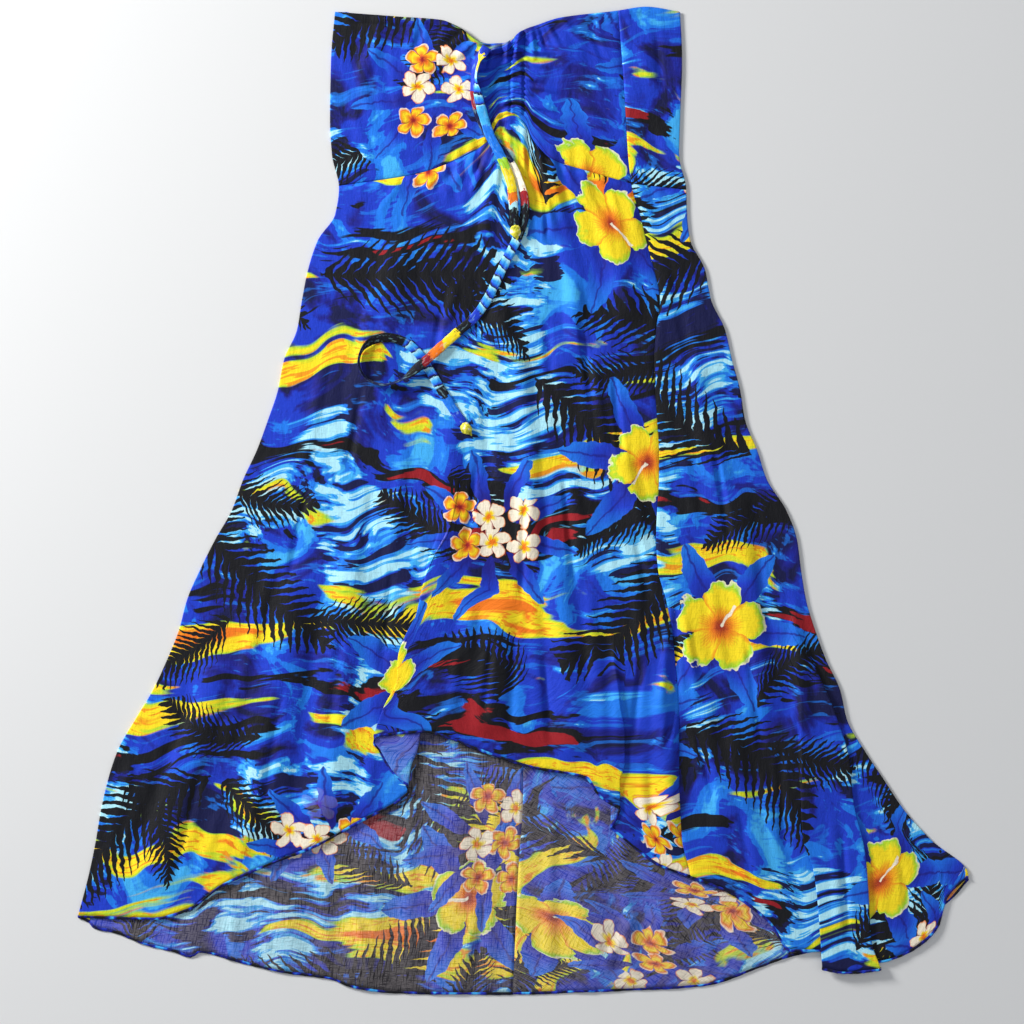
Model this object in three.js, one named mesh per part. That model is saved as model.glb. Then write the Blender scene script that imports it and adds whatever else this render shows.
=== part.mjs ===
import * as THREE from 'three';

// A strapless sundress with a short front and a long back, laid flat with its front up.
// Millimetres, +Z up, +Y towards the neckline. The origin is on the surface, under the middle of the dress.

// Cloth
const CLOTH = 1.0;               // wall of every panel
const LAYER_GAP = 0.5;           // air between two layers that lie on each other
const SEAM_GAP = 0.3;            // between two panels that are sewn together
const LAYER = CLOTH + LAYER_GAP; // from the middle of one layer to the middle of the next
const UNDER = CLOTH / 2;         // height of the middle of the layer that rests on the surface
const UPPER = UNDER + LAYER;     // height of the middle of the layer above it
const BEND = LAYER / 2;          // radius of a side fold, at the middle of the wall
const EDGE = BEND + CLOTH / 2;   // from a side fold's outermost line to where it starts to turn
const WRAP = 12;                 // how far the front reaches round the left fold, underneath
const LOFT = 2.2;                // how far the front stands off the back in the middle

// Ties: flat tubes of cloth
const TIE_WIDTH = 10;
const TIE_THICK = 2.2;
const TIE_CLEAR = 0.5;           // between a tie and the highest cloth under it
const TIE_STEP = 13;             // length of one facet of a tie
const TIE_STACK = TIE_THICK + 0.5; // how much higher a tie runs where it lies on another
const KNOT = { length: 13, width: 11, height: 4.4 };
const KNOT_RISE = 0.9;           // how much higher a tie's end is, in the middle of its knot

// The dress from side to side: the left fold, the side seam that shows on top, and the right fold
const SECTIONS = [
  { y: 488, left: -188, seam: 95, right: 157 },
  { y: 440, left: -192, seam: 99, right: 159 },
  { y: 380, left: -193, seam: 103, right: 157 },
  { y: 345, left: -191, seam: 105, right: 156 },
  { y: 312, left: -184, seam: 109, right: 163 },
  { y: 285, left: -188, seam: 117, right: 164 },
  { y: 260, left: -205, seam: 123, right: 167 },
  { y: 230, left: -215, seam: 131, right: 182 },
  { y: 200, left: -221, seam: 137, right: 188 },
  { y: 170, left: -226, seam: 133, right: 202 },
  { y: 140, left: -239, seam: 131, right: 209 },
  { y: 110, left: -245, seam: 132, right: 217 },
  { y: 80, left: -255, seam: 134, right: 222 },
  { y: 50, left: -266, seam: 136, right: 234 },
  { y: 20, left: -280, seam: 136, right: 244 },
  { y: -10, left: -291, seam: 134, right: 263 },
  { y: -40, left: -308, seam: 133, right: 274 },
  { y: -70, left: -323, seam: 135, right: 278 },
  { y: -100, left: -336, seam: 143, right: 283 },
  { y: -130, left: -344, seam: 149, right: 292 },
  { y: -160, left: -356, seam: 152, right: 303 },
  { y: -190, left: -370, seam: 155, right: 317 },
  { y: -220, left: -388, seam: 156, right: 324 },
  { y: -250, left: -405, seam: 156, right: 341 },
  { y: -280, left: -415, seam: 156, right: 361 },
  { y: -310, left: -422, seam: 157, right: 381 },
  { y: -340, left: -427, seam: 159, right: 408 },
  { y: -374, left: -434, seam: 167, right: 445 },
  { y: -416, left: -445, seam: 172, right: 445 },
];

// The seam down the middle of the back
const BACK_SEAM = [
  { y: 312, x: 2 }, { y: -295, x: 0 }, { y: -375, x: -5 }, { y: -490, x: -10 },
];

// Neckline, highest where the sides are, with a dip at the drawstring channel
const NECKLINE = [
  { x: -188, y: 488 }, { x: -123, y: 483 }, { x: -83, y: 480 }, { x: -63, y: 472 }, { x: -45, y: 459 },
  { x: -35, y: 456 }, { x: -18, y: 457 }, { x: -11, y: 461 }, { x: -1, y: 469 }, { x: 15, y: 475 },
  { x: 37, y: 482 }, { x: 94, y: 489 }, { x: 123, y: 493 }, { x: 157, y: 488 },
];
const BACK_NECKLINE = [
  { x: -176, y: 488 }, { x: -100, y: 462 }, { x: -30, y: 450 }, { x: 40, y: 456 }, { x: 110, y: 474 },
  { x: 158, y: 487 },
];

// Back waist seam, straight across from fold to fold, and the front waist seam, drawn up at the channel
const BACK_WAIST_SEAM = [{ x: -184, y: 314 }, { x: 163, y: 310 }];
const SIDE_WAIST_SEAM = [{ x: 109, y: 316 }, { x: 163, y: 310 }];
const WAIST_SEAM = [
  { x: -184, y: 314 }, { x: -106, y: 326 }, { x: -60, y: 343 }, { x: -36, y: 358 }, { x: -23, y: 380 },
  { x: -9, y: 384 }, { x: 2, y: 377 }, { x: 10, y: 360 }, { x: 30, y: 340 }, { x: 64, y: 329 },
  { x: 109, y: 316 },
];

// Hems, one run for each stretch of cloth between two overlaps
const FRONT_HEM = {
  left: [
    { x: -445, y: -416 }, { x: -368, y: -418 }, { x: -333, y: -408 }, { x: -303, y: -386 },
    { x: -255, y: -364 }, { x: -207, y: -345 }, { x: -160, y: -319 }, { x: -132, y: -305 },
    { x: -116, y: -293 },
  ],
  middle: [
    { x: -150, y: -235 }, { x: -98, y: -231 }, { x: -77, y: -236 }, { x: -44, y: -249 },
    { x: 12, y: -267 }, { x: 64, y: -277 }, { x: 75, y: -293 }, { x: 83, y: -300 },
    { x: 97, y: -307 },
  ],
  right: [
    { x: 88, y: -327 }, { x: 100, y: -337 }, { x: 116, y: -350 }, { x: 134, y: -363 },
    { x: 167, y: -376 },
  ],
};
const SIDE_HEM = {
  left: [
    { x: 167, y: -376 }, { x: 203, y: -390 }, { x: 247, y: -422 }, { x: 268, y: -450 },
    { x: 297, y: -450 }, { x: 310, y: -451 },
  ],
  middle: [
    { x: 300, y: -468 }, { x: 322, y: -472 }, { x: 357, y: -469 },
  ],
  right: [
    { x: 322, y: -462 }, { x: 357, y: -461 }, { x: 375, y: -456 }, { x: 399, y: -442 },
    { x: 416, y: -422 }, { x: 421, y: -400 }, { x: 445, y: -375 },
  ],
};
const BACK_HEM = [
  { x: -433, y: -421 }, { x: -428, y: -427 }, { x: -409, y: -431 }, { x: -376, y: -444 },
  { x: -346, y: -451 }, { x: -333, y: -456 }, { x: -323, y: -451 }, { x: -311, y: -453 },
  { x: -279, y: -462 }, { x: -246, y: -470 }, { x: -192, y: -478 }, { x: -170, y: -486 },
  { x: -123, y: -492 }, { x: -23, y: -493 }, { x: 77, y: -490 }, { x: 177, y: -485 },
  { x: 237, y: -466 }, { x: 267, y: -455 }, { x: 307, y: -447 }, { x: 357, y: -435 },
  { x: 392, y: -417 }, { x: 423, y: -402 }, { x: 445, y: -378 },
];
// Where the right fold's rows would end, if its hem didn't turn up at the corner
const FOLD_ROWS_END = [{ x: 445, y: -435 }];

// Overlaps, where the cloth turns back and lies over itself. Each row is a place down the fold:
// x of its outer edge, how far the cloth has turned over from 0 to 1, and how deep it lies over itself.
const OVERLAPS = {
  frontLeft: [
    { y: 345, x: -60, turned: 0, depth: 1 }, { y: 20, x: -72, turned: 0, depth: 1 },
    { y: -25, x: -79, turned: 0.1, depth: 1 }, { y: -63, x: -94, turned: 0.4, depth: 1 },
    { y: -96, x: -102, turned: 0.9, depth: 2 }, { y: -114, x: -106, turned: 1, depth: 3 },
    { y: -133, x: -116, turned: 1, depth: 5 }, { y: -157, x: -124, turned: 1, depth: 10 },
    { y: -178, x: -125, turned: 1, depth: 16 }, { y: -208, x: -139, turned: 1, depth: 32 },
    { y: -236, x: -148, turned: 1, depth: 44 }, { y: -252, x: -149, turned: 1, depth: 42 },
    { y: -268, x: -150, turned: 1, depth: 37 }, { y: -300, x: -150, turned: 1, depth: 33 },
  ],
  frontRight: [
    { y: 325, x: 78, turned: 0, depth: 1 }, { y: 50, x: 94, turned: 0, depth: 1 },
    { y: -150, x: 98, turned: 0, depth: 1 }, { y: -200, x: 98, turned: 0.35, depth: 1 },
    { y: -240, x: 101, turned: 1, depth: 3 }, { y: -262, x: 101, turned: 1, depth: 4 },
    { y: -280, x: 96, turned: 1, depth: 5 }, { y: -307, x: 96, turned: 1, depth: 7 },
    { y: -330, x: 96, turned: 1, depth: 7 },
  ],
  sideLeft: [
    { y: 312, x: 124, turned: 0, depth: 1 }, { y: 250, x: 137, turned: 0, depth: 1 },
    { y: 200, x: 151, turned: 0, depth: 1 }, { y: 96, x: 163, turned: 0, depth: 1 },
    { y: -48, x: 207, turned: 0, depth: 1 }, { y: -130, x: 244, turned: 0, depth: 1 },
    { y: -200, x: 275, turned: 0.2, depth: 1 }, { y: -290, x: 278, turned: 0.5, depth: 1 },
    { y: -340, x: 281, turned: 1, depth: 3 }, { y: -370, x: 291, turned: 1, depth: 5 },
    { y: -410, x: 296, turned: 1, depth: 7 }, { y: -470, x: 300, turned: 1, depth: 9 },
  ],
  sideRight: [
    { y: 312, x: 147, turned: 0, depth: 1 }, { y: 250, x: 158, turned: 0, depth: 1 },
    { y: 200, x: 175, turned: 0, depth: 1 }, { y: 96, x: 194, turned: 0, depth: 1 },
    { y: -48, x: 244, turned: 0, depth: 1 },
    { y: -120, x: 270, turned: 0, depth: 1 }, { y: -180, x: 297, turned: 0.4, depth: 1 },
    { y: -220, x: 313, turned: 1, depth: 3 }, { y: -260, x: 325, turned: 1, depth: 8 },
    { y: -300, x: 329, turned: 1, depth: 14 }, { y: -354, x: 341, turned: 1, depth: 20 },
    { y: -390, x: 344, turned: 1, depth: 24 }, { y: -440, x: 347, turned: 1, depth: 28 },
    { y: -470, x: 357, turned: 1, depth: 34 },
  ],
};
const OVERLAP_ARC = 2.36;          // cloth in each bend of an overlap that lies flat
const OVERLAP_FAN = 1.6;           // how much wider the bends start out, where the overlap begins
const BEND_SHARE = 3 / 8;          // part of an overlap's columns in each of its two bends
const OVERLAP_COLUMNS = 8;
// How much of the way from its lower hem to its upper one an overlap's cloth has gone
const OVERLAP_FALL = [
  { column: 0, gone: 0 }, { column: BEND_SHARE, gone: 0.17 }, { column: 0.5, gone: 0.4 },
  { column: 1 - BEND_SHARE, gone: 0.83 }, { column: 1, gone: 1 },
];
const SETTLE = 55;                 // how soon the cloth comes down again beside an overlap

// Soft folds of the front, as ridges, or troughs where the height is below zero
const FRONT_FOLDS = [
  { name: 'centre crease, upper', from: [-10, 165], to: [6, 60], width: 13, height: 3.2 },
  { name: 'centre crease, lower', from: [4, 80], to: [7, -70], width: 14, height: 3.6 },
  { name: 'short crease left of the centre', from: [-27, 205], to: [-10, 135], width: 12, height: 2.4 },
  { name: 'gather left 1', from: [-34, 352], to: [-62, 290], width: 9, height: 2.0 },
  { name: 'gather left 2', from: [-26, 366], to: [-38, 250], width: 9, height: 2.0 },
  { name: 'gather centre', from: [-14, 378], to: [-16, 268], width: 8, height: 1.6 },
  { name: 'gather right 1', from: [-2, 374], to: [10, 262], width: 9, height: 1.8 },
  { name: 'gather right 2', from: [9, 356], to: [30, 250], width: 9, height: 2.4 },
  { name: 'gather right 3', from: [22, 340], to: [52, 215], width: 11, height: 2.2 },
  { name: 'gather right 4', from: [48, 236], to: [56, 132], width: 12, height: 2.8 },
  { name: 'gather right 5', from: [75, 300], to: [114, 165], width: 16, height: 2.4 },
  { name: 'slanting crease', from: [92, 62], to: [124, -44], width: 14, height: 2.8 },
  { name: 'crease above the left overlap', from: [-54, -95], to: [-58, -172], width: 12, height: 2.4 },
  { name: 'fold over the left overlap', from: [-70, 90], to: [-82, -60], width: 16, height: 2.6 },
  { name: 'fold right of the centre', from: [34, -50], to: [54, -272], width: 18, height: 3.6 },
  { name: 'fold left of the centre', from: [-22, -90], to: [-36, -246], width: 20, height: 3.2 },
  { name: 'fold under the bloom', from: [140, -170], to: [146, -345], width: 15, height: 3.8 },
  { name: 'trough beside it', from: [160, -205], to: [166, -330], width: 13, height: -2.0 },
  { name: 'fold beside the seam', from: [178, -190], to: [206, -345], width: 15, height: 3.0 },
  { name: 'left skirt, inner', from: [-170, -40], to: [-196, -330], width: 24, height: 3.4 },
  { name: 'left skirt, middle', from: [-220, -60], to: [-276, -360], width: 26, height: 3.4 },
  { name: 'left skirt, outer', from: [-300, -150], to: [-372, -400], width: 24, height: 3.0 },
  { name: 'left hip', from: [-120, 270], to: [-158, 60], width: 24, height: 2.2 },
  { name: 'right hip', from: [170, 150], to: [205, -60], width: 18, height: 2.2 },
  { name: 'right skirt, inner', from: [212, 20], to: [244, -230], width: 20, height: 3.2 },
  { name: 'right skirt, lower', from: [205, -220], to: [236, -395], width: 17, height: 2.8 },
  { name: 'crease above the side overlap', from: [274, -80], to: [279, -240], width: 11, height: 2.6 },
  { name: 'bust left', from: [-62, 462], to: [-120, 420], width: 16, height: 1.8 },
  { name: 'bust right, from the dip', from: [-4, 462], to: [6, 420], width: 8, height: -1.6 },
  { name: 'bust right', from: [30, 470], to: [62, 420], width: 16, height: 1.6 },
];

const FOLD_WIDENING = 0.3;       // how much wider a soft fold is at its lower end

// The drawstring channel, a flat raised strip down the middle of the bodice
const CHANNEL = { x: -6, width: 13, bottom: 392, height: 0.9 };

// Soft folds of the back where its inside shows under the front hem
const BACK_FOLDS = [
  { name: 'left corner', from: [-328, -408], to: [-329, -462], width: 14, height: 2.4 },
  { name: 'left', from: [-246, -385], to: [-234, -482], width: 22, height: 2.6 },
  { name: 'left of the seam', from: [-146, -320], to: [-160, -500], width: 26, height: 3.4 },
  { name: 'beside the seam', from: [-56, -290], to: [-72, -502], width: 24, height: 3.0 },
  { name: 'right of the seam', from: [58, -320], to: [70, -500], width: 26, height: 3.2 },
  { name: 'right', from: [140, -385], to: [152, -494], width: 20, height: 2.4 },
  { name: 'right corner', from: [212, -415], to: [220, -480], width: 18, height: 2.2 },
];

// The ties, along the cloth from where they leave the channel to their knots
const SHORT_TIE = [
  [-36, 452], [-43, 439], [-47, 424], [-46, 410], [-43, 396], [-39, 382], [-33, 364], [-24, 347],
  [-17, 331], [-12, 317], [-10, 300], [-9, 286], [-8, 274],
];
const LONG_TIE = [
  [-38, 450], [-46, 436], [-49, 418], [-47, 398], [-41, 378], [-30, 359], [-17, 343], [-8, 328],
  [-1, 311], [2, 294], [0, 277], [-7, 259], [-16, 241], [-26, 220], [-36, 200], [-48, 183],
  [-66, 167], [-84, 151], [-102, 135], [-120, 121], [-139, 115], [-156, 121], [-164, 136],
  [-160, 151], [-148, 160], [-132, 162], [-117, 157], [-105, 147], [-95, 132], [-83, 112],
  [-70, 91], [-60, 76],
];
const LONG_TIE_OVER = { 16: 0.4, 17: 1, 18: 1, 19: 0.4 };   // its points that pass over its own end

// Finish
const FINISH = {
  bodice_front: { color: 0x1746b8, roughness: 0.72 },
  bodice_back: { color: 0x1c58c4, roughness: 0.72 },
  skirt_front: { color: 0x123a9e, roughness: 0.72 },
  skirt_back_left: { color: 0x3f6fa8, roughness: 0.8 },
  skirt_back_right: { color: 0x1d4fae, roughness: 0.74 },
  tie_short: { color: 0x4aa6e6, roughness: 0.7 },
  tie_short_knot: { color: 0xd9e04a, roughness: 0.7 },
  tie_long: { color: 0x2c7fd0, roughness: 0.7 },
  tie_long_knot: { color: 0xd9e04a, roughness: 0.7 },
};

const mix = (a, b, t) => a + (b - a) * t;
const clamp = (t) => Math.min(Math.max(t, 0), 1);
const ease = (t) => clamp(t) ** 2 * (3 - 2 * clamp(t));

// A smooth curve through a table's rows that never swings past them
function curve(rows, over, of) {
  const sorted = [...rows].sort((a, b) => a[over] - b[over]);
  const xs = sorted.map((row) => row[over]);
  const ys = sorted.map((row) => row[of]);
  const last = xs.length - 1;
  const secants = xs.slice(1).map((x, i) => (ys[i + 1] - ys[i]) / (x - xs[i]));
  const slopes = xs.map((_, i) => {
    if (i === 0 || i === last) return secants[Math.min(i, last - 1)];
    const [before, after] = [secants[i - 1], secants[i]];
    return before * after <= 0 ? 0 : (2 * before * after) / (before + after);
  });
  return (x) => {
    if (x <= xs[0]) return ys[0];
    if (x >= xs[last]) return ys[last];
    let i = 0;
    while (x > xs[i + 1]) i += 1;
    const h = xs[i + 1] - xs[i];
    const t = (x - xs[i]) / h;
    return (2 * t ** 3 - 3 * t ** 2 + 1) * ys[i] + (t ** 3 - 2 * t ** 2 + t) * h * slopes[i]
      + (3 * t ** 2 - 2 * t ** 3) * ys[i + 1] + (t ** 3 - t ** 2) * h * slopes[i + 1];
  };
}

const leftFold = curve(SECTIONS, 'y', 'left');
const sideSeam = curve(SECTIONS, 'y', 'seam');
const rightFold = curve(SECTIONS, 'y', 'right');
const backSeam = curve(BACK_SEAM, 'y', 'x');
const fallen = curve(OVERLAP_FALL, 'column', 'gone');

// Height of one soft fold at a place: full along its middle, fading to its ends and sides
function ridge(fold, x, y) {
  const [ax, ay] = fold.from;
  const [bx, by] = fold.to;
  const length = Math.hypot(bx - ax, by - ay);
  const along = ((x - ax) * (bx - ax) + (y - ay) * (by - ay)) / length;
  const aside = ((x - ax) * (by - ay) - (y - ay) * (bx - ax)) / length;
  const width = fold.width * (1 + FOLD_WIDENING * along / length);
  const across = clamp(1 - (aside / width) ** 2) ** 2;
  const fade = Math.min(length / 2, 30);
  return fold.height * across * ease(along / fade) * ease((length - along) / fade);
}

// How far the cloth stands off its flat place. The back's folds lift the front too.
function backSwell(x, y) {
  return BACK_FOLDS.reduce((sum, fold) => sum + ridge(fold, x, y), 0);
}
function frontSwell(x, y) {
  const across = clamp((x - leftFold(y)) / (rightFold(y) - leftFold(y)));
  const loft = LOFT * (1 - (2 * across - 1) ** 4);
  const inset = ease(Math.min(x - leftFold(y), rightFold(y) - x) / 25);
  const folds = FRONT_FOLDS.reduce((sum, fold) => sum + ridge(fold, x, y), 0) * inset;
  const channel = CHANNEL.height * ease((CHANNEL.width / 2 + 2 - Math.abs(x - CHANNEL.x)) / 3)
    * ease((y - CHANNEL.bottom + 8) / 6);
  const swell = loft + folds + channel;
  return (swell + Math.sqrt(swell ** 2 + 0.1)) / 2 + backSwell(x, y);
}

// A stretch of cloth in plan, between two side lines and from its top edge to its hem.
// u runs from one side line to the other, v from the top edge to the hem.
function region({ left, right, top, hems }) {
  const across = (x, y) => (x - left(y)) / (right(y) - left(y));
  const overU = (rows) => curve(rows.map(({ x, y }) => ({ u: across(x, y), y })), 'u', 'y');
  const topAt = overU(top);
  const general = overU(hems.flat());
  const place = (hem) => {
    const hemAt = overU(hem);
    const at = (u, v) => {
      const whole = general(u);
      const y = mix(topAt(u), whole, v) + (hemAt(u) - whole) * v ** 5;
      return { x: mix(left(y), right(y), u), y };
    };
    // The u where a line, given as x over y, crosses the row v
    const crossing = (line, v) => {
      let u = 0.5;
      for (let i = 0; i < 12; i += 1) {
        const { y } = at(u, v);
        u = mix(u, across(line(y), y), 0.8);
      }
      return u;
    };
    return { at, crossing };
  };
  return { place, across };
}

// The section through an overlap that has turned over so far: from the lower cloth, up and back, then over
function overlapSection(turned, depth) {
  const fan = 1 + OVERLAP_FAN * (1 - Math.min(1, 2.5 * turned)) ** 2;
  const arc = OVERLAP_ARC * fan;
  const flat = (depth - 1) * ease((turned - 0.6) / 0.4) + 1.3 * fan;
  const angle = Math.max(Math.PI * turned, 1e-4);
  const radius = arc / angle;
  const bend = { x: radius * Math.sin(angle), z: radius * (1 - Math.cos(angle)) };
  const reach = 2 * bend.x + flat * Math.cos(angle);
  const rise = 2 * bend.z + flat * Math.sin(angle);
  const at = (f) => {
    if (f < BEND_SHARE) {
      const a = angle * f / BEND_SHARE;
      return { x: radius * Math.sin(a), z: radius * (1 - Math.cos(a)), angle: a };
    }
    if (f <= 1 - BEND_SHARE) {
      const along = flat * (f - BEND_SHARE) / (1 - 2 * BEND_SHARE);
      return { x: bend.x + along * Math.cos(angle), z: bend.z + along * Math.sin(angle), angle };
    }
    const a = angle * (1 - f) / BEND_SHARE;
    return { x: reach - radius * Math.sin(a), z: rise - radius * (1 - Math.cos(a)), angle: a };
  };
  return { at, reach, rise };
}

// An overlap in place. facing is -1 where its outer edge faces left, with the upper cloth on the right.
function overlap(rows, facing) {
  const edge = curve(rows, 'y', 'x');
  const turned = curve(rows, 'y', 'turned');
  const depth = curve(rows, 'y', 'depth');
  const section = (y) => overlapSection(turned(y), depth(y));
  const middle = (y) => edge(y) - facing * Math.max(0, -section(y).reach) / 2;
  const lower = (y) => middle(y) + facing * section(y).reach / 2;
  const upper = (y) => middle(y) - facing * section(y).reach / 2;
  // Height of the upper cloth over its ordinary place, beside the overlap
  const lift = (x, y) => {
    const beyond = -facing * (x - middle(y)) - Math.abs(section(y).reach) / 2 - 1;
    return section(y).rise * (1 - ease(beyond / SETTLE));
  };
  return { facing, turned, section, lower, upper, lift };
}
const overlaps = {
  frontLeft: overlap(OVERLAPS.frontLeft, -1),
  frontRight: overlap(OVERLAPS.frontRight, 1),
  sideLeft: overlap(OVERLAPS.sideLeft, -1),
  sideRight: overlap(OVERLAPS.sideRight, 1),
};

const frontHeight = (x, y, lift = 0) => UPPER + frontSwell(x, y) + lift;
const backHeight = (x, y) => UNDER + backSwell(x, y);

// Spans: each is a run of columns, with a point and the direction of the cloth's right side for every v.
// Upper cloth from one line to another, both given as u over v, lifted by the overlaps that it ends on
function topSpan(columns, place, from, to, { start, end } = {}) {
  return {
    columns,
    at: (f, v) => {
      const { x, y } = place.at(mix(from(v), to(v), f), v);
      const lift = (start ? start.lift(x, y) * (1 - ease(f)) : 0) + (end ? end.lift(x, y) * ease(f) : 0);
      return { x, y, z: frontHeight(x, y, lift), angle: 0 };
    },
  };
}
// The overlap between two runs of upper cloth. Where it hasn't turned over yet it keeps to the plan.
function overlapSpan(plan, before, after, fold) {
  const fromLower = fold.facing < 0;
  return {
    columns: OVERLAP_COLUMNS,
    at: (f, v) => {
      const start = before.place.at(before.u(v), v);
      const end = after.place.at(after.u(v), v);
      const [lower, upper] = fromLower ? [start, end] : [end, start];
      const middle = mix(start.y, end.y, 0.5);
      const g = fromLower ? f : 1 - f;
      const section = fold.section(middle);
      const point = section.at(g);
      const missed = upper.x - lower.x + fold.facing * section.reach;
      const made = clamp((g - BEND_SHARE) / (1 - 2 * BEND_SHARE));
      const x = lower.x - fold.facing * point.x + missed * made;
      const straight = mix(lower.y, upper.y, fallen(g));
      const planned = before.place.at(plan.across(x, straight), v).y;
      const y = mix(planned, straight, ease(2 * fold.turned(middle)));
      return { x, y, z: frontHeight(x, y, point.z), angle: -fold.facing * point.angle };
    },
  };
}
// The side fold, from the underside up to the top, or from the top down
function turnSpan(columns, line, facing, yUnder, yTop) {
  return {
    columns,
    at: (f, v) => {
      const g = facing < 0 ? f : 1 - f;
      const y = mix(yUnder(v), yTop(v), g);
      const a = Math.PI * g;
      const rise = frontHeight(line(y) - facing * EDGE, y) - UPPER;
      const x = line(y) - facing * EDGE + facing * BEND * Math.sin(a);
      const z = UNDER + BEND * (1 - Math.cos(a)) + rise * g;
      return { x, y, z, angle: facing < 0 ? Math.PI - a : -Math.PI + a };
    },
  };
}
// Cloth that rests on the surface, from one u to another
function underSpan(columns, at, angle) {
  return {
    columns,
    at: (f, v) => {
      const { x, y } = at(f, v);
      return { x, y, z: backHeight(x, y), angle };
    },
  };
}

// The points of one row, from the first span to the last
function pointsOf(spans, v) {
  const points = spans.flatMap(({ columns, at }) =>
    Array.from({ length: columns }, (_, i) => at(i / columns, v)));
  return [...points, spans.at(-1).at(1, v)];
}

// A closed wall through rows of points, half its thickness to each side of them
function panel(name, spans, rows) {
  const lines = rows.map((v) => pointsOf(spans, v));
  const across = lines[0].length;
  const positions = [1, -1].flatMap((side) => lines.flatMap((line) => line.flatMap((p) => [
    p.x - side * Math.sin(p.angle) * CLOTH / 2, p.y, p.z + side * Math.cos(p.angle) * CLOTH / 2,
  ])));
  const at = (side, row, column) => (side * rows.length + row) * across + column;
  const triangles = [];
  const quad = (a, b, c, d) => triangles.push(a, b, c, a, c, d);
  for (let row = 0; row + 1 < rows.length; row += 1) {
    for (let column = 0; column + 1 < across; column += 1) {
      const next = [row + 1, column + 1];
      quad(at(0, row, column), at(0, next[0], column), at(0, ...next), at(0, row, next[1]));
      quad(at(1, row, column), at(1, row, next[1]), at(1, ...next), at(1, next[0], column));
    }
    quad(at(0, row, 0), at(1, row, 0), at(1, row + 1, 0), at(0, row + 1, 0));
    const end = across - 1;
    quad(at(0, row, end), at(0, row + 1, end), at(1, row + 1, end), at(1, row, end));
  }
  for (let column = 0; column + 1 < across; column += 1) {
    const bottom = rows.length - 1;
    quad(at(0, 0, column), at(0, 0, column + 1), at(1, 0, column + 1), at(1, 0, column));
    quad(at(0, bottom, column), at(1, bottom, column), at(1, bottom, column + 1), at(0, bottom, column + 1));
  }
  const geometry = new THREE.BufferGeometry();
  geometry.setAttribute('position', new THREE.Float32BufferAttribute(positions, 3));
  geometry.setIndex(triangles);
  return piece(name, geometry);
}

function piece(name, geometry) {
  geometry.computeVertexNormals();
  const mesh = new THREE.Mesh(geometry, new THREE.MeshStandardMaterial({ metalness: 0, ...FINISH[name] }));
  mesh.name = name;
  return mesh;
}

// Rows from the top edge to the hem, closer together towards the hem where power is below 1
const rowsOf = (count, power = 1) => Array.from({ length: count + 1 }, (_, i) => (i / count) ** power);
const BODICE_ROWS = rowsOf(13);
const SKIRT_ROWS = rowsOf(17, 0.9);

const frontLeftLine = (y) => leftFold(y) + EDGE;
const frontRightLine = (y) => sideSeam(y) - SEAM_GAP / 2;
const sideLeftLine = (y) => sideSeam(y) + SEAM_GAP / 2;
const sideRightLine = (y) => rightFold(y) - EDGE;
const backLeftLine = (y) => leftFold(y) + WRAP + SEAM_GAP;
const above = (rows) => rows.map(({ x, y }) => ({ x, y: y + SEAM_GAP / 2 }));
const below = (rows) => rows.map(({ x, y }) => ({ x, y: y - SEAM_GAP / 2 }));
const zero = () => 0;
const one = () => 1;

// The front's strip underneath, and the left fold up to its top side
function leftEdgeSpans(place, drop) {
  const side = (v) => place.at(0, v).y;
  return [
    underSpan(2, (f, v) => {
      const y = side(v) - drop * v * (1 - f);
      return { x: leftFold(y) + mix(WRAP, EDGE, f), y };
    }, Math.PI),
    turnSpan(4, leftFold, -1, side, side),
  ];
}

// The upper side of the skirt's front: three runs of cloth with an overlap between each two
function skirtFrontSpans() {
  const plan = region({
    left: frontLeftLine, right: frontRightLine, top: below(WAIST_SEAM),
    hems: [FRONT_HEM.left.slice(0, -2), FRONT_HEM.middle.slice(1, -1), FRONT_HEM.right.slice(1)],
  });
  const left = plan.place(FRONT_HEM.left);
  const middle = plan.place(FRONT_HEM.middle);
  const right = plan.place(FRONT_HEM.right);
  const { frontLeft, frontRight } = overlaps;
  const endLeft = (v) => left.crossing(frontLeft.lower, v);
  const startMiddle = (v) => middle.crossing(frontLeft.upper, v);
  const endMiddle = (v) => middle.crossing(frontRight.upper, v);
  const startRight = (v) => right.crossing(frontRight.lower, v);
  const spans = [
    topSpan(14, left, zero, endLeft),
    overlapSpan(plan, { place: left, u: endLeft }, { place: middle, u: startMiddle }, frontLeft),
    topSpan(14, middle, startMiddle, endMiddle, { start: frontLeft, end: frontRight }),
    overlapSpan(plan, { place: middle, u: endMiddle }, { place: right, u: startRight }, frontRight),
    topSpan(4, right, startRight, one),
  ];
  return { plan, left, spans };
}

// The bodice's columns meet the skirt's at the waist seam
function bodiceFront() {
  const skirt = skirtFrontSpans();
  const place = region({
    left: frontLeftLine, right: frontRightLine, top: NECKLINE, hems: [above(WAIST_SEAM)],
  }).place(above(WAIST_SEAM));
  const seamPoints = pointsOf(skirt.spans, 0);
  const columns = seamPoints.map(({ x, y }) => skirt.plan.across(x, y));
  const span = {
    columns: columns.length - 1,
    at: (f, v) => {
      const { x, y } = place.at(columns[Math.round(f * (columns.length - 1))], v);
      return { x, y, z: frontHeight(x, y), angle: 0 };
    },
  };
  return panel('bodice_front', [...leftEdgeSpans(place, 0), span], BODICE_ROWS);
}

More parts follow.
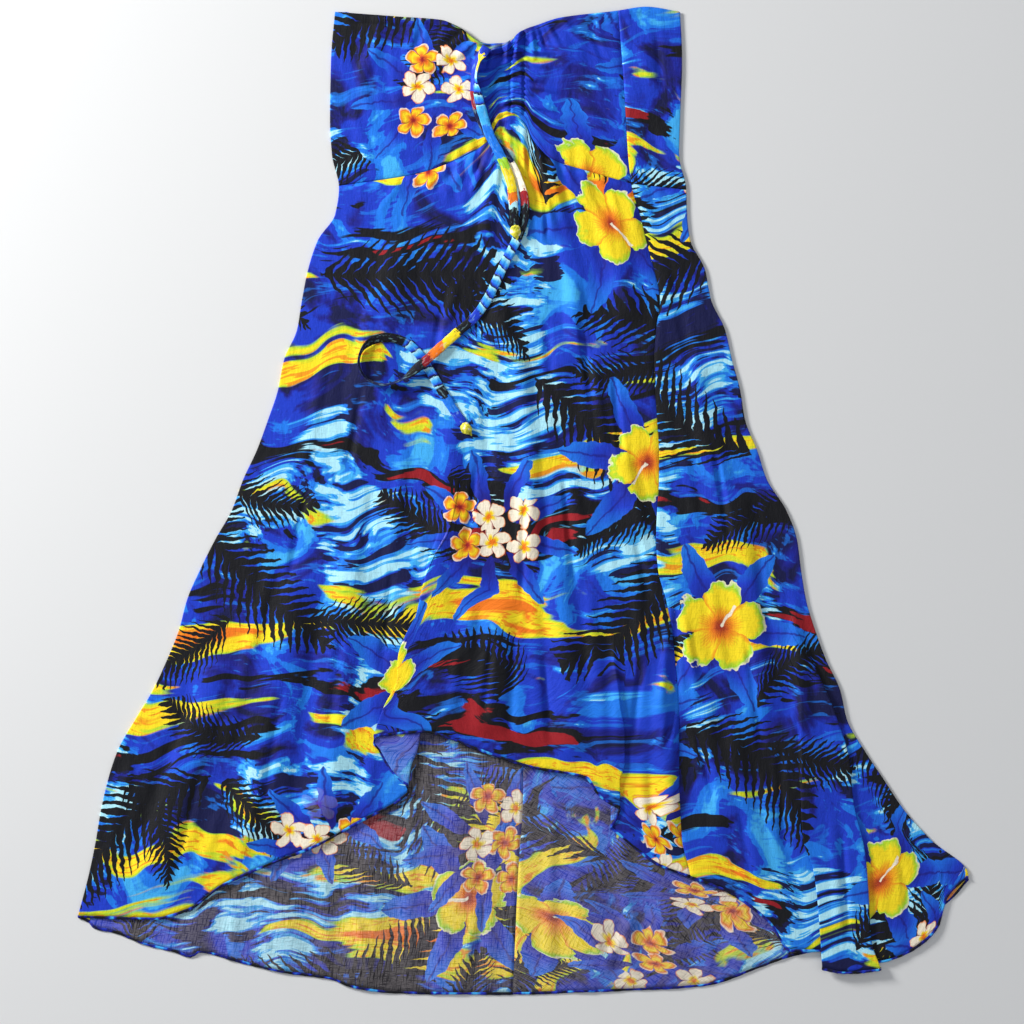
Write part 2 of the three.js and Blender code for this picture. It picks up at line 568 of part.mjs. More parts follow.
function bodiceBack() {
  const top = region({
    left: sideLeftLine, right: sideRightLine, top: NECKLINE, hems: [above(SIDE_WAIST_SEAM)],
  }).place(above(SIDE_WAIST_SEAM));
  const under = region({
    left: backLeftLine, right: sideRightLine, top: BACK_NECKLINE, hems: [above(BACK_WAIST_SEAM)],
  }).place(above(BACK_WAIST_SEAM));
  return panel('bodice_back', [
    topSpan(4, top, zero, one),
    turnSpan(4, rightFold, 1, (v) => under.at(1, v).y, (v) => top.at(1, v).y),
    underSpan(8, (f, v) => under.at(1 - f, v), -Math.PI),
  ], BODICE_ROWS);
}

function skirtFront() {
  const { left, spans } = skirtFrontSpans();
  return panel('skirt_front', [...leftEdgeSpans(left, 5), ...spans], SKIRT_ROWS);
}

function skirtBackLeft() {
  const under = region({
    left: backLeftLine, right: (y) => backSeam(y) - SEAM_GAP / 2,
    top: below(BACK_WAIST_SEAM), hems: [BACK_HEM],
  }).place(BACK_HEM);
  return panel('skirt_back_left', [
    underSpan(16, (f, v) => under.at(1 - f, v), Math.PI),
  ], SKIRT_ROWS);
}

function skirtBackRight() {
  const plan = region({
    left: sideLeftLine, right: sideRightLine, top: below(SIDE_WAIST_SEAM),
    hems: [SIDE_HEM.left.slice(0, -1), SIDE_HEM.middle.slice(1, -1), FOLD_ROWS_END],
  });
  const left = plan.place(SIDE_HEM.left);
  const middle = plan.place(SIDE_HEM.middle);
  const right = plan.place(SIDE_HEM.right);
  const under = region({
    left: (y) => backSeam(y) + SEAM_GAP / 2, right: sideRightLine,
    top: below(BACK_WAIST_SEAM), hems: [BACK_HEM.slice(0, -3), FOLD_ROWS_END],
  }).place(BACK_HEM);
  const { sideLeft, sideRight } = overlaps;
  const endLeft = (v) => left.crossing(sideLeft.lower, v);
  const startMiddle = (v) => middle.crossing(sideLeft.upper, v);
  const endMiddle = (v) => middle.crossing(sideRight.upper, v);
  const startRight = (v) => right.crossing(sideRight.lower, v);
  return panel('skirt_back_right', [
    topSpan(6, left, zero, endLeft),
    overlapSpan(plan, { place: left, u: endLeft }, { place: middle, u: startMiddle }, sideLeft),
    topSpan(4, middle, startMiddle, endMiddle, { start: sideLeft, end: sideRight }),
    overlapSpan(plan, { place: middle, u: endMiddle }, { place: right, u: startRight }, sideRight),
    topSpan(4, right, startRight, one),
    turnSpan(4, rightFold, 1, (v) => under.at(1, v).y, (v) => right.at(1, v).y),
    underSpan(17, (f, v) => under.at(1 - f, v), -Math.PI),
  ], SKIRT_ROWS);
}

// The highest cloth under a tie at a place
function clothUnderTie(x, y) {
  const reach = TIE_WIDTH / 2 + 1;
  const heights = [-reach, 0, reach].flatMap((dx) =>
    [-reach, 0, reach].map((dy) => frontHeight(x + dx, y + dy)));
  return Math.max(...heights) + CLOTH / 2;
}

// A flat tube along its route on the cloth, and the knot that ends it
function tie(name, route, stackedAt) {
  const last = route.length - 1;
  const points = route.map(([x, y], i) => {
    const nearKnot = Math.max(0, 1 - (last - i) / 2) * KNOT_RISE;
    const z = clothUnderTie(x, y) + TIE_CLEAR + TIE_THICK / 2 + stackedAt(i) * TIE_STACK + nearKnot;
    return new THREE.Vector3(x, y, z);
  });
  const path = new THREE.CatmullRomCurve3(points, false, 'centripetal');
  const section = new THREE.Shape(Array.from({ length: 8 }, (_, i) => {
    const angle = (i + 0.5) * Math.PI / 4;
    return new THREE.Vector2(Math.cos(angle) * TIE_THICK / 2, Math.sin(angle) * TIE_WIDTH / 2);
  }));
  const steps = Math.round(path.getLength() / TIE_STEP);
  const tube = piece(name, new THREE.ExtrudeGeometry(section, { steps, extrudePath: path }));
  const onward = path.getTangentAt(1).setZ(0).normalize();
  const knot = piece(`${name}_knot`, new THREE.SphereGeometry(0.5, 10, 8));
  knot.scale.set(KNOT.length, KNOT.width, KNOT.height);
  knot.rotation.z = Math.atan2(onward.y, onward.x);
  knot.position.copy(points[last]).addScaledVector(onward, KNOT.length / 2 + SEAM_GAP);
  return [tube, knot];
}

const group = new THREE.Group();
group.add(bodiceFront(), bodiceBack(), skirtFront(), skirtBackLeft(), skirtBackRight());
group.add(...tie('tie_short', SHORT_TIE, () => 1));
group.add(...tie('tie_long', LONG_TIE, (i) => LONG_TIE_OVER[i] ?? 0));

export default group;
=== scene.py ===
"""A strapless sundress with a short front and a long back, laid flat with its front up.

Shapes are worked out in millimetres, as the part's source does, and made in metres.
"""
import math
from types import SimpleNamespace

import bmesh
import bpy
import numpy as np
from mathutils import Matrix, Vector


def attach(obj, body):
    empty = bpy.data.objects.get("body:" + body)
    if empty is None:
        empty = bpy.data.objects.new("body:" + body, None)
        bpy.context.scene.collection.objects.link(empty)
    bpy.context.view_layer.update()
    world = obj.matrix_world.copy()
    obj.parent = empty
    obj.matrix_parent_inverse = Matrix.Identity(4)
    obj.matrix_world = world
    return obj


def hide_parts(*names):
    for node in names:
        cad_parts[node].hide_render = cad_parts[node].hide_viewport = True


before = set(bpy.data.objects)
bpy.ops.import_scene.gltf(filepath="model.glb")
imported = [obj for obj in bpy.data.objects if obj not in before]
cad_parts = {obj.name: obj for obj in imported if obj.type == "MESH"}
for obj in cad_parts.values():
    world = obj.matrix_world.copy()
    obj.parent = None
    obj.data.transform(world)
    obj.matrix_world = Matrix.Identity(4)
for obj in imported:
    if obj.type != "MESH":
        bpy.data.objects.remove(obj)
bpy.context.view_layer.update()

MM = 0.001
TAU = 2 * math.pi

# Cloth
CLOTH = 0.6                # thickness of the shell
LAYER = 1.5                # from the middle of one layer to the middle of the next
UNDER = 0.5                # height of the middle of the layer that rests on the surface
UPPER = UNDER + LAYER
LOWEST = UNDER - 0.1       # the middle of the cloth lies no lower
BEND = LAYER / 2           # radius of a side fold
EDGE = BEND + CLOTH / 2    # from a side fold's outermost line to where it starts to turn
WRAP = 12                  # how far the front reaches round the left fold, underneath
STRIP_DROP = 5             # how much lower the end of that strip hangs at the skirt's hem
LOFT = 2.2                 # how far the front stands off the back in the middle
SLIT = 0.1                 # between the front and the back where a crease presses them together
SEAM_GAP = 0.1             # between two panels at their seam
SEAM_DIP = 0.8             # how far the cloth is drawn down into a seam
SEAM_REACH = 2.6           # how far beside the seam it is drawn

# Ties: flat tubes of cloth
TIE_WIDTH = 10
TIE_THICK = 1.8
TIE_REST = 1.1             # from the cloth under a tie to the middle of the tie
TIE_STACK = 2.7            # how much higher a tie runs where it lies on another
TIE_STEP = 2.0             # from one ring of a tie to the next
TIE_SMOOTHING = 9          # rings over which the ground under a tie is evened out
# A knot's middle lies ahead of the tie's end by a share of the knot's length
KNOT = SimpleNamespace(length=13, width=11, height=6.4, ahead=0.42, below=1.6)

# Sewn edges: the rolled hem, and a short bar of dark stitches across the neckline's casing
HEM_HALF_WIDTH = 1.5
HEM_HALF_HEIGHT = 0.5
HEM_OVERHANG = 0.3         # from the cloth's edge out to the middle of the hem
TACK = SimpleNamespace(x=-138, top=484, bottom=473, half_width=0.9, half_height=0.5, rings=24)
THREAD_SIDES = 8
TIE_SIDES = 16

# The ties, along the cloth from where they leave the channel to their knots, in metres
SHORT_TIE = [
    (-0.036, 0.452), (-0.043, 0.439), (-0.047, 0.424), (-0.046, 0.410), (-0.043, 0.396),
    (-0.039, 0.382), (-0.033, 0.364), (-0.024, 0.347), (-0.017, 0.331), (-0.012, 0.317),
    (-0.010, 0.300), (-0.009, 0.286), (-0.008, 0.274),
]
LONG_TIE = [
    (-0.038, 0.450), (-0.046, 0.436), (-0.049, 0.418), (-0.047, 0.398), (-0.041, 0.378),
    (-0.030, 0.359), (-0.017, 0.343), (-0.008, 0.328), (-0.001, 0.311), (0.002, 0.294),
    (0.000, 0.277), (-0.007, 0.259), (-0.016, 0.241), (-0.026, 0.220), (-0.036, 0.200),
    (-0.048, 0.183), (-0.066, 0.167), (-0.084, 0.151), (-0.102, 0.135), (-0.120, 0.121),
    (-0.139, 0.115), (-0.156, 0.121), (-0.164, 0.136), (-0.160, 0.151), (-0.148, 0.160),
    (-0.132, 0.162), (-0.117, 0.157), (-0.105, 0.147), (-0.095, 0.132), (-0.083, 0.112),
    (-0.070, 0.091), (-0.060, 0.076),
]

# Camera, straight above. One pixel of the photo is one millimetre of the surface.
PHOTO_WIDTH = 1.024
VIEW_CENTRE = (-0.011, -0.012)
CAMERA_HEIGHT = 6.0
SENSOR = 36


def table(names, *rows):
    """A table as one array for each named column."""
    return dict(zip(names.split(), np.array(rows, float).T))


# The dress from side to side: the left fold, the side seam that shows on top, and the right fold
SECTIONS = table(
    "y left seam right",
    (488, -188, 95, 157), (440, -192, 99, 159), (380, -193, 103, 157), (345, -191, 105, 156),
    (312, -184, 109, 163), (285, -188, 117, 164), (260, -205, 123, 167), (230, -215, 131, 182),
    (200, -221, 137, 188), (170, -226, 133, 202), (140, -239, 131, 209), (110, -245, 132, 217),
    (80, -255, 134, 222), (50, -266, 136, 234), (20, -280, 136, 244), (-10, -291, 134, 263),
    (-40, -308, 133, 274), (-70, -323, 135, 278), (-100, -336, 143, 283), (-130, -344, 149, 292),
    (-160, -356, 152, 303), (-190, -370, 155, 317), (-220, -388, 156, 324), (-250, -405, 156, 341),
    (-280, -415, 156, 361), (-310, -422, 157, 381), (-340, -427, 159, 408), (-374, -434, 167, 445),
    (-416, -445, 172, 445),
)
RIGHT_FOLD_RUN = (310, -400)    # the stretch of the right fold that is nearly straight
BACK_SEAM = table("y x", (312, 2), (-295, 0), (-375, -5), (-490, -10))

# Neckline and waist seams, as points
NECKLINE = np.array([
    (-188, 488), (-123, 483), (-83, 480), (-63, 472), (-45, 459), (-35, 456), (-18, 457),
    (-11, 461), (-1, 469), (15, 475), (37, 482), (94, 489), (123, 493), (157, 488),
], float)
BACK_NECKLINE = np.array([
    (-176, 488), (-100, 462), (-30, 450), (40, 456), (110, 474), (158, 487),
], float)
WAIST_SEAM = np.array([
    (-184, 314), (-106, 326), (-60, 343), (-36, 358), (-23, 380), (-9, 384), (2, 377),
    (10, 360), (30, 340), (64, 329), (109, 316),
], float)
BACK_WAIST_SEAM = np.array([(-184, 314), (163, 310)], float)
SIDE_WAIST_SEAM = np.array([(109, 316), (163, 310)], float)

# Hems, one run for each stretch of cloth between two overlaps
FRONT_HEM = {
    "left": np.array([
        (-445, -416), (-368, -418), (-333, -408), (-303, -386), (-255, -364), (-207, -345),
        (-160, -319), (-132, -305), (-116, -293),
    ], float),
    "middle": np.array([
        (-150, -235), (-98, -231), (-77, -236), (-44, -249), (12, -267), (64, -277),
        (75, -293), (83, -300), (97, -307),
    ], float),
    "right": np.array([(88, -327), (100, -337), (116, -350), (134, -363), (167, -376)], float),
}
SIDE_HEM = {
    "left": np.array([
        (167, -376), (203, -390), (247, -422), (268, -450), (297, -450), (310, -451),
    ], float),
    "middle": np.array([(300, -468), (322, -472), (357, -469)], float),
    "right": np.array([
        (322, -462), (357, -461), (375, -456), (399, -442), (416, -422), (421, -400), (445, -375),
    ], float),
}
BACK_HEM = np.array([
    (-433, -421), (-428, -427), (-409, -431), (-376, -444), (-346, -451), (-333, -456),
    (-323, -451), (-311, -453), (-279, -462), (-246, -470), (-192, -478), (-170, -486),
    (-123, -492), (-23, -493), (77, -490), (177, -485), (237, -466), (267, -455), (307, -447),
    (357, -435), (392, -417), (423, -402), (445, -378),
], float)
# Where the right fold's rows would end, if its hem didn't turn up at the corner
FOLD_ROWS_END = np.array([(445, -435)], float)

# Overlaps, where the cloth turns back and lies over itself. Each row is a place down the fold:
# x of its outer edge, how far the cloth has turned over from 0 to 1, and how deep it lies.
OVERLAPS = {
    "front_left": table(
        "y x turned depth",
        (345, -60, 0, 1), (20, -72, 0, 1), (-25, -79, 0.1, 1), (-63, -94, 0.4, 1),
        (-96, -102, 0.9, 2), (-114, -106, 1, 3), (-133, -116, 1, 5), (-157, -124, 1, 10),
        (-178, -125, 1, 16), (-208, -139, 1, 32), (-236, -148, 1, 44), (-252, -149, 1, 42),
        (-268, -150, 1, 37), (-300, -150, 1, 33),
    ),
    "front_right": table(
        "y x turned depth",
        (325, 78, 0, 1), (50, 94, 0, 1), (-150, 98, 0, 1), (-200, 98, 0.35, 1),
        (-240, 101, 1, 3), (-262, 101, 1, 4), (-280, 96, 1, 5), (-307, 96, 1, 7),
        (-330, 96, 1, 7),
    ),
    "side_left": table(
        "y x turned depth",
        (312, 124, 0, 1), (250, 137, 0, 1), (200, 151, 0, 1), (96, 163, 0, 1), (-48, 207, 0, 1),
        (-130, 244, 0, 1), (-200, 275, 0.2, 1), (-290, 278, 0.5, 1), (-340, 281, 1, 3),
        (-370, 291, 1, 5), (-410, 296, 1, 7), (-470, 300, 1, 9),
    ),
    "side_right": table(
        "y x turned depth",
        (312, 147, 0, 1), (250, 158, 0, 1), (200, 175, 0, 1), (96, 194, 0, 1), (-48, 244, 0, 1),
        (-120, 270, 0, 1), (-180, 297, 0.4, 1), (-220, 313, 1, 3), (-260, 325, 1, 8),
        (-300, 329, 1, 14), (-354, 341, 1, 20), (-390, 344, 1, 24), (-440, 347, 1, 28),
        (-470, 357, 1, 34),
    ),
}
OVERLAP_ARC = 2.36         # cloth in each bend of an overlap that lies flat
OVERLAP_FAN = 1.6          # how much wider the bends start out, where the overlap begins
OVERLAP_FANNED = 0.4       # how far the cloth has turned over where they are no wider any more
OVERLAP_LIES = 0.6         # and where the cloth between the bends begins to lie flat
OVERLAP_LEAST = 1.3        # least of that cloth
BEND_SHARE = 3 / 8         # part of an overlap's columns in each of its two bends
# How much of the way from its lower hem to its upper one an overlap's cloth has gone
OVERLAP_FALL = table(
    "column gone",
    (0, 0), (BEND_SHARE, 0.17), (0.5, 0.4), (1 - BEND_SHARE, 0.83), (1, 1),
)
SETTLE = 55                # how soon the cloth comes down again beside an overlap

# Soft folds of the front, as ridges, or troughs where the height is below zero
FRONT_FOLDS = table(
    "from_x from_y to_x to_y width height",
    (-10, 165, 6, 60, 13, 3.2), (4, 80, 7, -70, 14, 3.6), (-27, 205, -10, 135, 12, 2.4),
    (-34, 352, -62, 290, 9, 2.0), (-26, 366, -38, 250, 9, 2.0), (-14, 378, -16, 268, 8, 1.6),
    (-2, 374, 10, 262, 9, 1.8), (9, 356, 30, 250, 9, 2.4), (22, 340, 52, 215, 11, 2.2),
    (48, 236, 56, 132, 12, 2.8), (75, 300, 114, 165, 16, 2.4), (92, 62, 124, -44, 14, 2.8),
    (-54, -95, -58, -172, 12, 2.4), (-70, 90, -82, -60, 16, 2.6), (34, -50, 54, -272, 18, 3.6),
    (-22, -90, -36, -246, 20, 3.2), (140, -170, 146, -345, 15, 3.8),
    (160, -205, 166, -330, 13, -2.0), (178, -190, 206, -345, 15, 3.0),
    (-170, -40, -196, -330, 24, 3.4), (-220, -60, -276, -360, 26, 3.4),
    (-300, -150, -372, -400, 24, 3.0), (-120, 270, -158, 60, 24, 2.2),
    (170, 150, 205, -60, 18, 2.2), (212, 20, 244, -230, 20, 3.2), (205, -220, 236, -395, 17, 2.8),
    (274, -80, 279, -240, 11, 2.6), (-62, 462, -120, 420, 16, 1.8), (-4, 462, 6, 420, 8, -1.6),
    (30, 470, 62, 420, 16, 1.6),
)
# Smaller creases of the front
FRONT_CREASES = table(
    "from_x from_y to_x to_y width height",
    (-46, 348, -84, 296, 5, 0.9), (-60, 338, -112, 300, 5, 0.7), (-84, 334, -120, 296, 4, -0.6),
    (-120, 322, -146, 286, 5, 0.7), (-8, 380, -4, 300, 3.5, 0.9), (4, 364, 20, 300, 4, -0.8),
    (16, 350, 44, 286, 4, 0.9), (38, 336, 70, 280, 5, 0.8), (60, 328, 92, 268, 5, -0.7),
    (84, 322, 100, 262, 5, 0.7), (-20, 372, -28, 306, 3.5, -0.8), (-32, 356, -50, 312, 3.5, 0.8),
    (-64, 226, -92, 120, 8, 0.9), (-150, 210, -172, 92, 9, 0.8), (-196, 150, -222, 20, 8, 0.7),
    (22, 190, 30, 96, 6, -0.9), (70, 150, 82, 40, 7, 0.9), (-40, 120, -32, 10, 7, -1.0),
    (-118, 60, -132, -70, 9, 1.0), (-150, 20, -162, -96, 7, -0.9), (-96, -20, -112, -80, 6, 0.8),
    (24, 20, 20, -90, 7, -1.0), (46, 40, 64, -60, 8, 0.9), (66, -70, 74, -210, 8, 1.0),
    (10, -80, 16, -230, 8, 0.8), (-8, -120, -14, -240, 6, -0.9), (-64, -140, -72, -225, 7, 0.9),
    (84, -120, 88, -260, 7, -1.0), (112, -60, 120, -200, 8, 0.9), (118, -240, 124, -350, 7, 0.9),
    (-206, -120, -232, -330, 9, -1.0), (-250, -60, -302, -260, 9, 0.9),
    (-330, -190, -400, -380, 10, -0.9), (-390, -250, -428, -400, 8, 0.9),
    (-258, -270, -286, -372, 8, 0.8), (-150, -240, -156, -318, 7, 0.9),
    (-300, -300, -330, -398, 8, 0.8), (158, 60, 176, -40, 7, 0.8), (148, 240, 168, 130, 7, -0.7),
    (232, -40, 254, -190, 7, -0.9), (186, -80, 204, -200, 8, 0.8), (236, -260, 262, -400, 7, 0.9),
    (262, -330, 284, -440, 6, -0.8), (308, -310, 316, -440, 6, 0.8), (360, -300, 386, -400, 8, 0.9),
    (390, -330, 418, -392, 7, -0.8), (-140, 470, -168, 408, 9, 0.8),
    (-170, 400, -120, 372, 10, 0.6), (-150, 356, -84, 346, 9, 0.6), (60, 400, 92, 352, 8, 0.7),
    (112, 470, 138, 392, 9, 0.7), (120, 380, 146, 330, 7, -0.6), (-96, 452, -62, 400, 8, -0.6),
    (34, 452, 78, 436, 7, 0.6),
)
# Sharp creases, pressed in or pulled by the gathers
SHARP_CREASES = table(
    "from_x from_y to_x to_y width height",
    (10, 354, 18, 320, 4, -3.2), (16, 328, 23, 292, 4, -3.4), (22, 302, 25, 252, 4, -3.0),
    (-32, 358, -60, 304, 4, -3.0), (-20, 378, -30, 318, 3.6, -2.4), (30, 342, 66, 286, 4, -2.6),
    (60, 330, 104, 272, 4, -2.0), (-58, 342, -100, 300, 4, -2.0), (4, 376, 6, 310, 3.6, -2.4),
    (-24, 378, -26, 300, 4, 2.0), (14, 350, 34, 290, 4, 2.2), (153, -96, 152, -204, 5, -3.4),
    (152, -194, 141, -260, 5, -3.2), (160, -110, 176, -214, 6, 2.6),
    (169, -214, 194, -308, 5, -2.8), (146, -120, 136, -220, 6, 2.6),
    (120, -150, 108, -250, 5, -2.2), (112, -30, 128, -110, 6, -2.0), (40, 30, 52, -92, 5, -2.6),
    (2, 10, -2, -110, 5, -2.4), (-46, 40, -58, -60, 5, -2.2), (-30, -130, -40, -228, 5, -2.2),
    (20, -150, 28, -250, 5, -2.2), (-80, 200, -96, 96, 5, -1.8), (56, 190, 70, 90, 5, -2.2),
    (90, 130, 100, 30, 5, -1.8), (-130, -60, -142, -180, 5, -2.0),
    (-180, -120, -196, -250, 6, -2.2), (-240, -180, -262, -320, 6, -2.2),
    (-320, -260, -352, -390, 6, -2.0), (-214, 20, -236, -90, 5, -1.8),
    (-160, 120, -176, 20, 5, -1.8), (190, 60, 208, -50, 5, -2.0), (222, -130, 240, -260, 5, -2.2),
    (256, -240, 262, -360, 5, -2.0), (214, -300, 232, -400, 5, -2.0),
    (318, -320, 326, -452, 5, -2.2), (372, -340, 392, -432, 5, -2.2),
    (404, -360, 426, -402, 5, -1.6), (-98, 478, -112, 440, 5, -1.4), (66, 476, 84, 430, 5, -1.4),
    (132, 480, 140, 400, 5, -1.4),
)
FOLD_WIDENING = 0.3        # how much wider a soft fold is at its lower end
FOLD_FADE = 30             # how soon a fold rises from its end, at most
FOLD_INSET = 25            # how far from a side fold the front's folds fade out
FOLD_SOFTNESS = 0.1        # how softly a trough levels out where it reaches the flat place
# How many times the height in its table each kind of fold or crease is made
FULLNESS = SimpleNamespace(folds=1.25, creases=1.6, sharp_creases=1.1, back_creases=1.9)

# The drawstring channel, and the puckers that it draws in on both sides
CHANNEL = SimpleNamespace(x=-6, width=13, top=452, bottom=386, height=1.6, stitch=1.3, ruche=5.5)
NECK_LEVEL = 486           # height of the neckline, if it weren't drawn together
WAIST_LEVEL = 318          # and of the waist seam
WAIST_SETTLE = 170         # how far below the waist seam the cloth hangs straight again
PUCKERS = SimpleNamespace(count=11, reach=50, width=3.1, height=2.7, start=5)
# Small gathers along the waist seam, each value far from the channel and then beside it
GATHERS = SimpleNamespace(pitch=7.5, near=70, height=(0.5, 1.3), below=(34, 84), above=(9, 17))
# The neckline's casing: how far below its edge it is rolled and stitched, and its gathers end
CASING = SimpleNamespace(roll=4, stitches=10, gathers=15, pitch=5.5)
BUNCH_FOLDS = table(
    "from_x from_y to_x to_y width height",
    (-34, 460, -52, 428, 4, 3.0), (-26, 462, -36, 420, 4, 3.2), (-20, 462, -23, 436, 2.6, -2.6),
    (-15, 464, -17, 432, 2.6, 3.0), (-9, 466, -12, 430, 2.6, -3.0), (-3, 474, -8, 436, 3.0, 3.2),
    (2, 474, -3, 430, 2.6, -3.2), (8, 476, 12, 434, 3.4, 3.0), (14, 480, 26, 444, 3.0, -2.2),
    (20, 482, 40, 446, 4, 2.4), (-44, 462, -74, 436, 5, 2.4), (34, 484, 66, 452, 5, 1.8),
    (-56, 470, -92, 448, 5, -1.4),
)

# Soft folds of the back where its inside shows under the front hem
BACK_FOLDS = table(
    "from_x from_y to_x to_y width height",
    (-328, -408, -329, -462, 14, 2.4), (-246, -385, -234, -482, 22, 2.6),
    (-146, -320, -160, -500, 26, 3.4), (-56, -290, -72, -502, 24, 3.0),
    (58, -320, 70, -500, 26, 3.2), (140, -385, 152, -494, 20, 2.4), (212, -415, 220, -480, 18, 2.2),
)
BACK_CREASES = table(
    "from_x from_y to_x to_y width height",
    (-288, -396, -292, -470, 7, 0.9), (-200, -360, -196, -486, 9, 1.0),
    (-112, -300, -116, -494, 8, 0.9), (-28, -270, -36, -496, 8, 0.9), (28, -290, 26, -494, 8, 1.0),
    (96, -320, 112, -494, 9, 1.1), (176, -400, 190, -486, 8, 0.9), (248, -440, 262, -462, 7, 0.8),
    (-386, -424, -380, -446, 7, 0.9), (-100, -360, -70, -470, 5, 1.4),
    (-40, -380, -60, -476, 5, 1.3), (44, -400, 92, -474, 5, 1.5), (120, -400, 76, -478, 5, 1.4),
    (150, -420, 210, -470, 5, 1.3), (-180, -380, -150, -470, 5, 1.3),
    (-270, -410, -250, -462, 5, 1.2), (10, -300, 60, -380, 5, 1.2), (-90, -260, -60, -340, 5, 1.3),
)

# Columns of the cloth's mesh, in the order of the spans, and its rows
SKIRT_FRONT_COLUMNS = SimpleNamespace(under=4, turn=8, left=90, overlap=22, middle=116, right=30)
SIDE_COLUMNS = SimpleNamespace(left=50, overlap=20, middle=28, right=34, turn=8, under=124)
BACK_LEFT_COLUMNS = 110
BODICE_BACK_COLUMNS = SimpleNamespace(top=28, turn=8, under=90)
SKIRT_ROWS = np.linspace(0, 1, 168) ** 0.96
BODICE_ROWS = np.linspace(0, 1, 96)
HEM_NEARNESS = 5           # rows keep the region's general shape, and follow a hem only near it
CROSSING_STEPS = 14        # steps in which the crossing of a line and a row is found
CROSSING_SHARE = 0.8       # how much of the way to it each step goes

# Where each panel's print starts, in millimetres, so that it doesn't run on across the seams
PRINT_SHIFT = {
    "bodice_front": (140, 60),
    "bodice_back": (905, 410),
    "skirt_front": (60, 840),
    "skirt_back_left": (1530, 300),
    "skirt_back_right": (2200, 980),
}


def mix(a, b, t):
    return a + (b - a) * t


def ease(t):
    """From 0 to 1 as t does, with a soft start and end."""
    t = np.clip(t, 0, 1)
    return t * t * (3 - 2 * t)


def bell(x, width):
    """1 where x is 0, fading out within about two widths on both sides."""
    return np.exp(-(x / width) ** 2)


def unit(vectors):
    return vectors / np.maximum(np.linalg.norm(vectors, axis=-1, keepdims=True), 1e-9)


def distances(path):
    """How far along a path each of its points is."""
    return np.concatenate([[0], np.cumsum(np.linalg.norm(np.diff(path, axis=0), axis=1))])


def joined(xs, ys, slopes, x):
    """A smooth line through points at any x, from its height and its slope at each point."""
    i = np.clip(np.searchsorted(xs, x, side="right") - 1, 0, len(xs) - 2)
    h = xs[i + 1] - xs[i]
    t = (x - xs[i]) / h
    return (
        (2 * t ** 3 - 3 * t ** 2 + 1) * ys[i] + (t ** 3 - 2 * t ** 2 + t) * h * slopes[i]
        + (3 * t ** 2 - 2 * t ** 3) * ys[i + 1] + (t ** 3 - t ** 2) * h * slopes[i + 1]
    )


def curve(xs, ys):
    """A smooth curve through points that never swings past them."""
    order = np.argsort(xs)
    xs, ys = np.asarray(xs)[order], np.asarray(ys)[order]
    secants = np.diff(ys) / np.diff(xs)
    before, after = secants[:-1], secants[1:]
    level = before * after <= 0
    inner = np.where(level, 0, 2 * before * after / np.where(level, 1, before + after))
    slopes = np.concatenate([secants[:1], inner, secants[-1:]])
    return lambda x: joined(xs, ys, slopes, np.clip(x, xs[0], xs[-1]))


left_fold = curve(SECTIONS["y"], SECTIONS["left"])
side_seam = curve(SECTIONS["y"], SECTIONS["seam"])
right_fold = curve(SECTIONS["y"], SECTIONS["right"])
back_seam = curve(BACK_SEAM["y"], BACK_SEAM["x"])
waist_line = curve(*np.vstack([WAIST_SEAM, SIDE_WAIST_SEAM[1:]]).T)
neckline = curve(*NECKLINE.T)
fallen = curve(*OVERLAP_FALL.values())


def ridges(folds, x, y):
    """Height of all the folds of a table at each place: full along a fold's middle, fading out."""
    total = np.zeros(np.broadcast(x, y).shape)
    for ax, ay, bx, by, width, height in zip(*folds.values()):
        length = math.hypot(bx - ax, by - ay)
        along = ((x - ax) * (bx - ax) + (y - ay) * (by - ay)) / length
        aside = ((x - ax) * (by - ay) - (y - ay) * (bx - ax)) / length
        widened = width * (1 + FOLD_WIDENING * np.clip(along / length, -1, 2))
        across = np.clip(1 - (aside / widened) ** 2, 0, 1) ** 2
        fade = min(length / 2, FOLD_FADE)
        total = total + height * across * ease(along / fade) * ease((length - along) / fade)
    return total


def pucker_folds():
    """The puckers as folds of their own, uneven in reach and height, on both sides of the channel."""
    step = (CHANNEL.top - CHANNEL.bottom) / (PUCKERS.count - 1)
    rows = []
    for side in (-1, 1):
        x = CHANNEL.x + side * CHANNEL.width / 2
        for i in range(PUCKERS.count):
            y = CHANNEL.top - i * step - (side > 0) * step / 3
            reach = PUCKERS.reach * (0.62 + 0.38 * math.cos(i * 2.4 + side))
            height = PUCKERS.height * (0.72 + 0.28 * math.cos(i * 1.7 - side))
            drop = 4 + 11 * i / PUCKERS.count + 3 * math.sin(i * 2.9)
            start = x - side * PUCKERS.start
            rows.append((start, y, x + side * reach, y - drop, PUCKERS.width, height))
    return table("from_x from_y to_x to_y width height", *rows)


PUCKER_FOLDS = pucker_folds()


def waves(x, y, pitch, slant, phase):
    """Uneven soft waves from -1 to 1 across the dress, about a pitch apart.

    The sines that bend them and change their strength have odd periods, so none repeats.
    """
    wander = 0.9 * np.sin(y / (7.3 * pitch) + phase) + 0.6 * np.sin(y / (3.1 * pitch) + 2.1 * phase)
    across = (x + slant * y) / pitch + 0.7 * np.sin(x / (4.7 * pitch) + 1.3 * phase) + wander
    strength = 0.6 + 0.4 * np.sin(x / (2.9 * pitch) - y / (5.1 * pitch) + 3.7 * phase)
    return np.sin(across * TAU / 2) * strength


def drawn_up(x, y):
    """How far the channel has drawn the cloth up from the waist, and down from the neckline."""
    waist, top = waist_line(x), neckline(x)
    above = np.clip((y - waist) / (top - waist), 0, 1)
    below = ease((waist - y) / WAIST_SETTLE)
    raised = waist - WAIST_LEVEL
    return np.where(y > waist, mix(raised, top - NECK_LEVEL, above), raised * (1 - below))


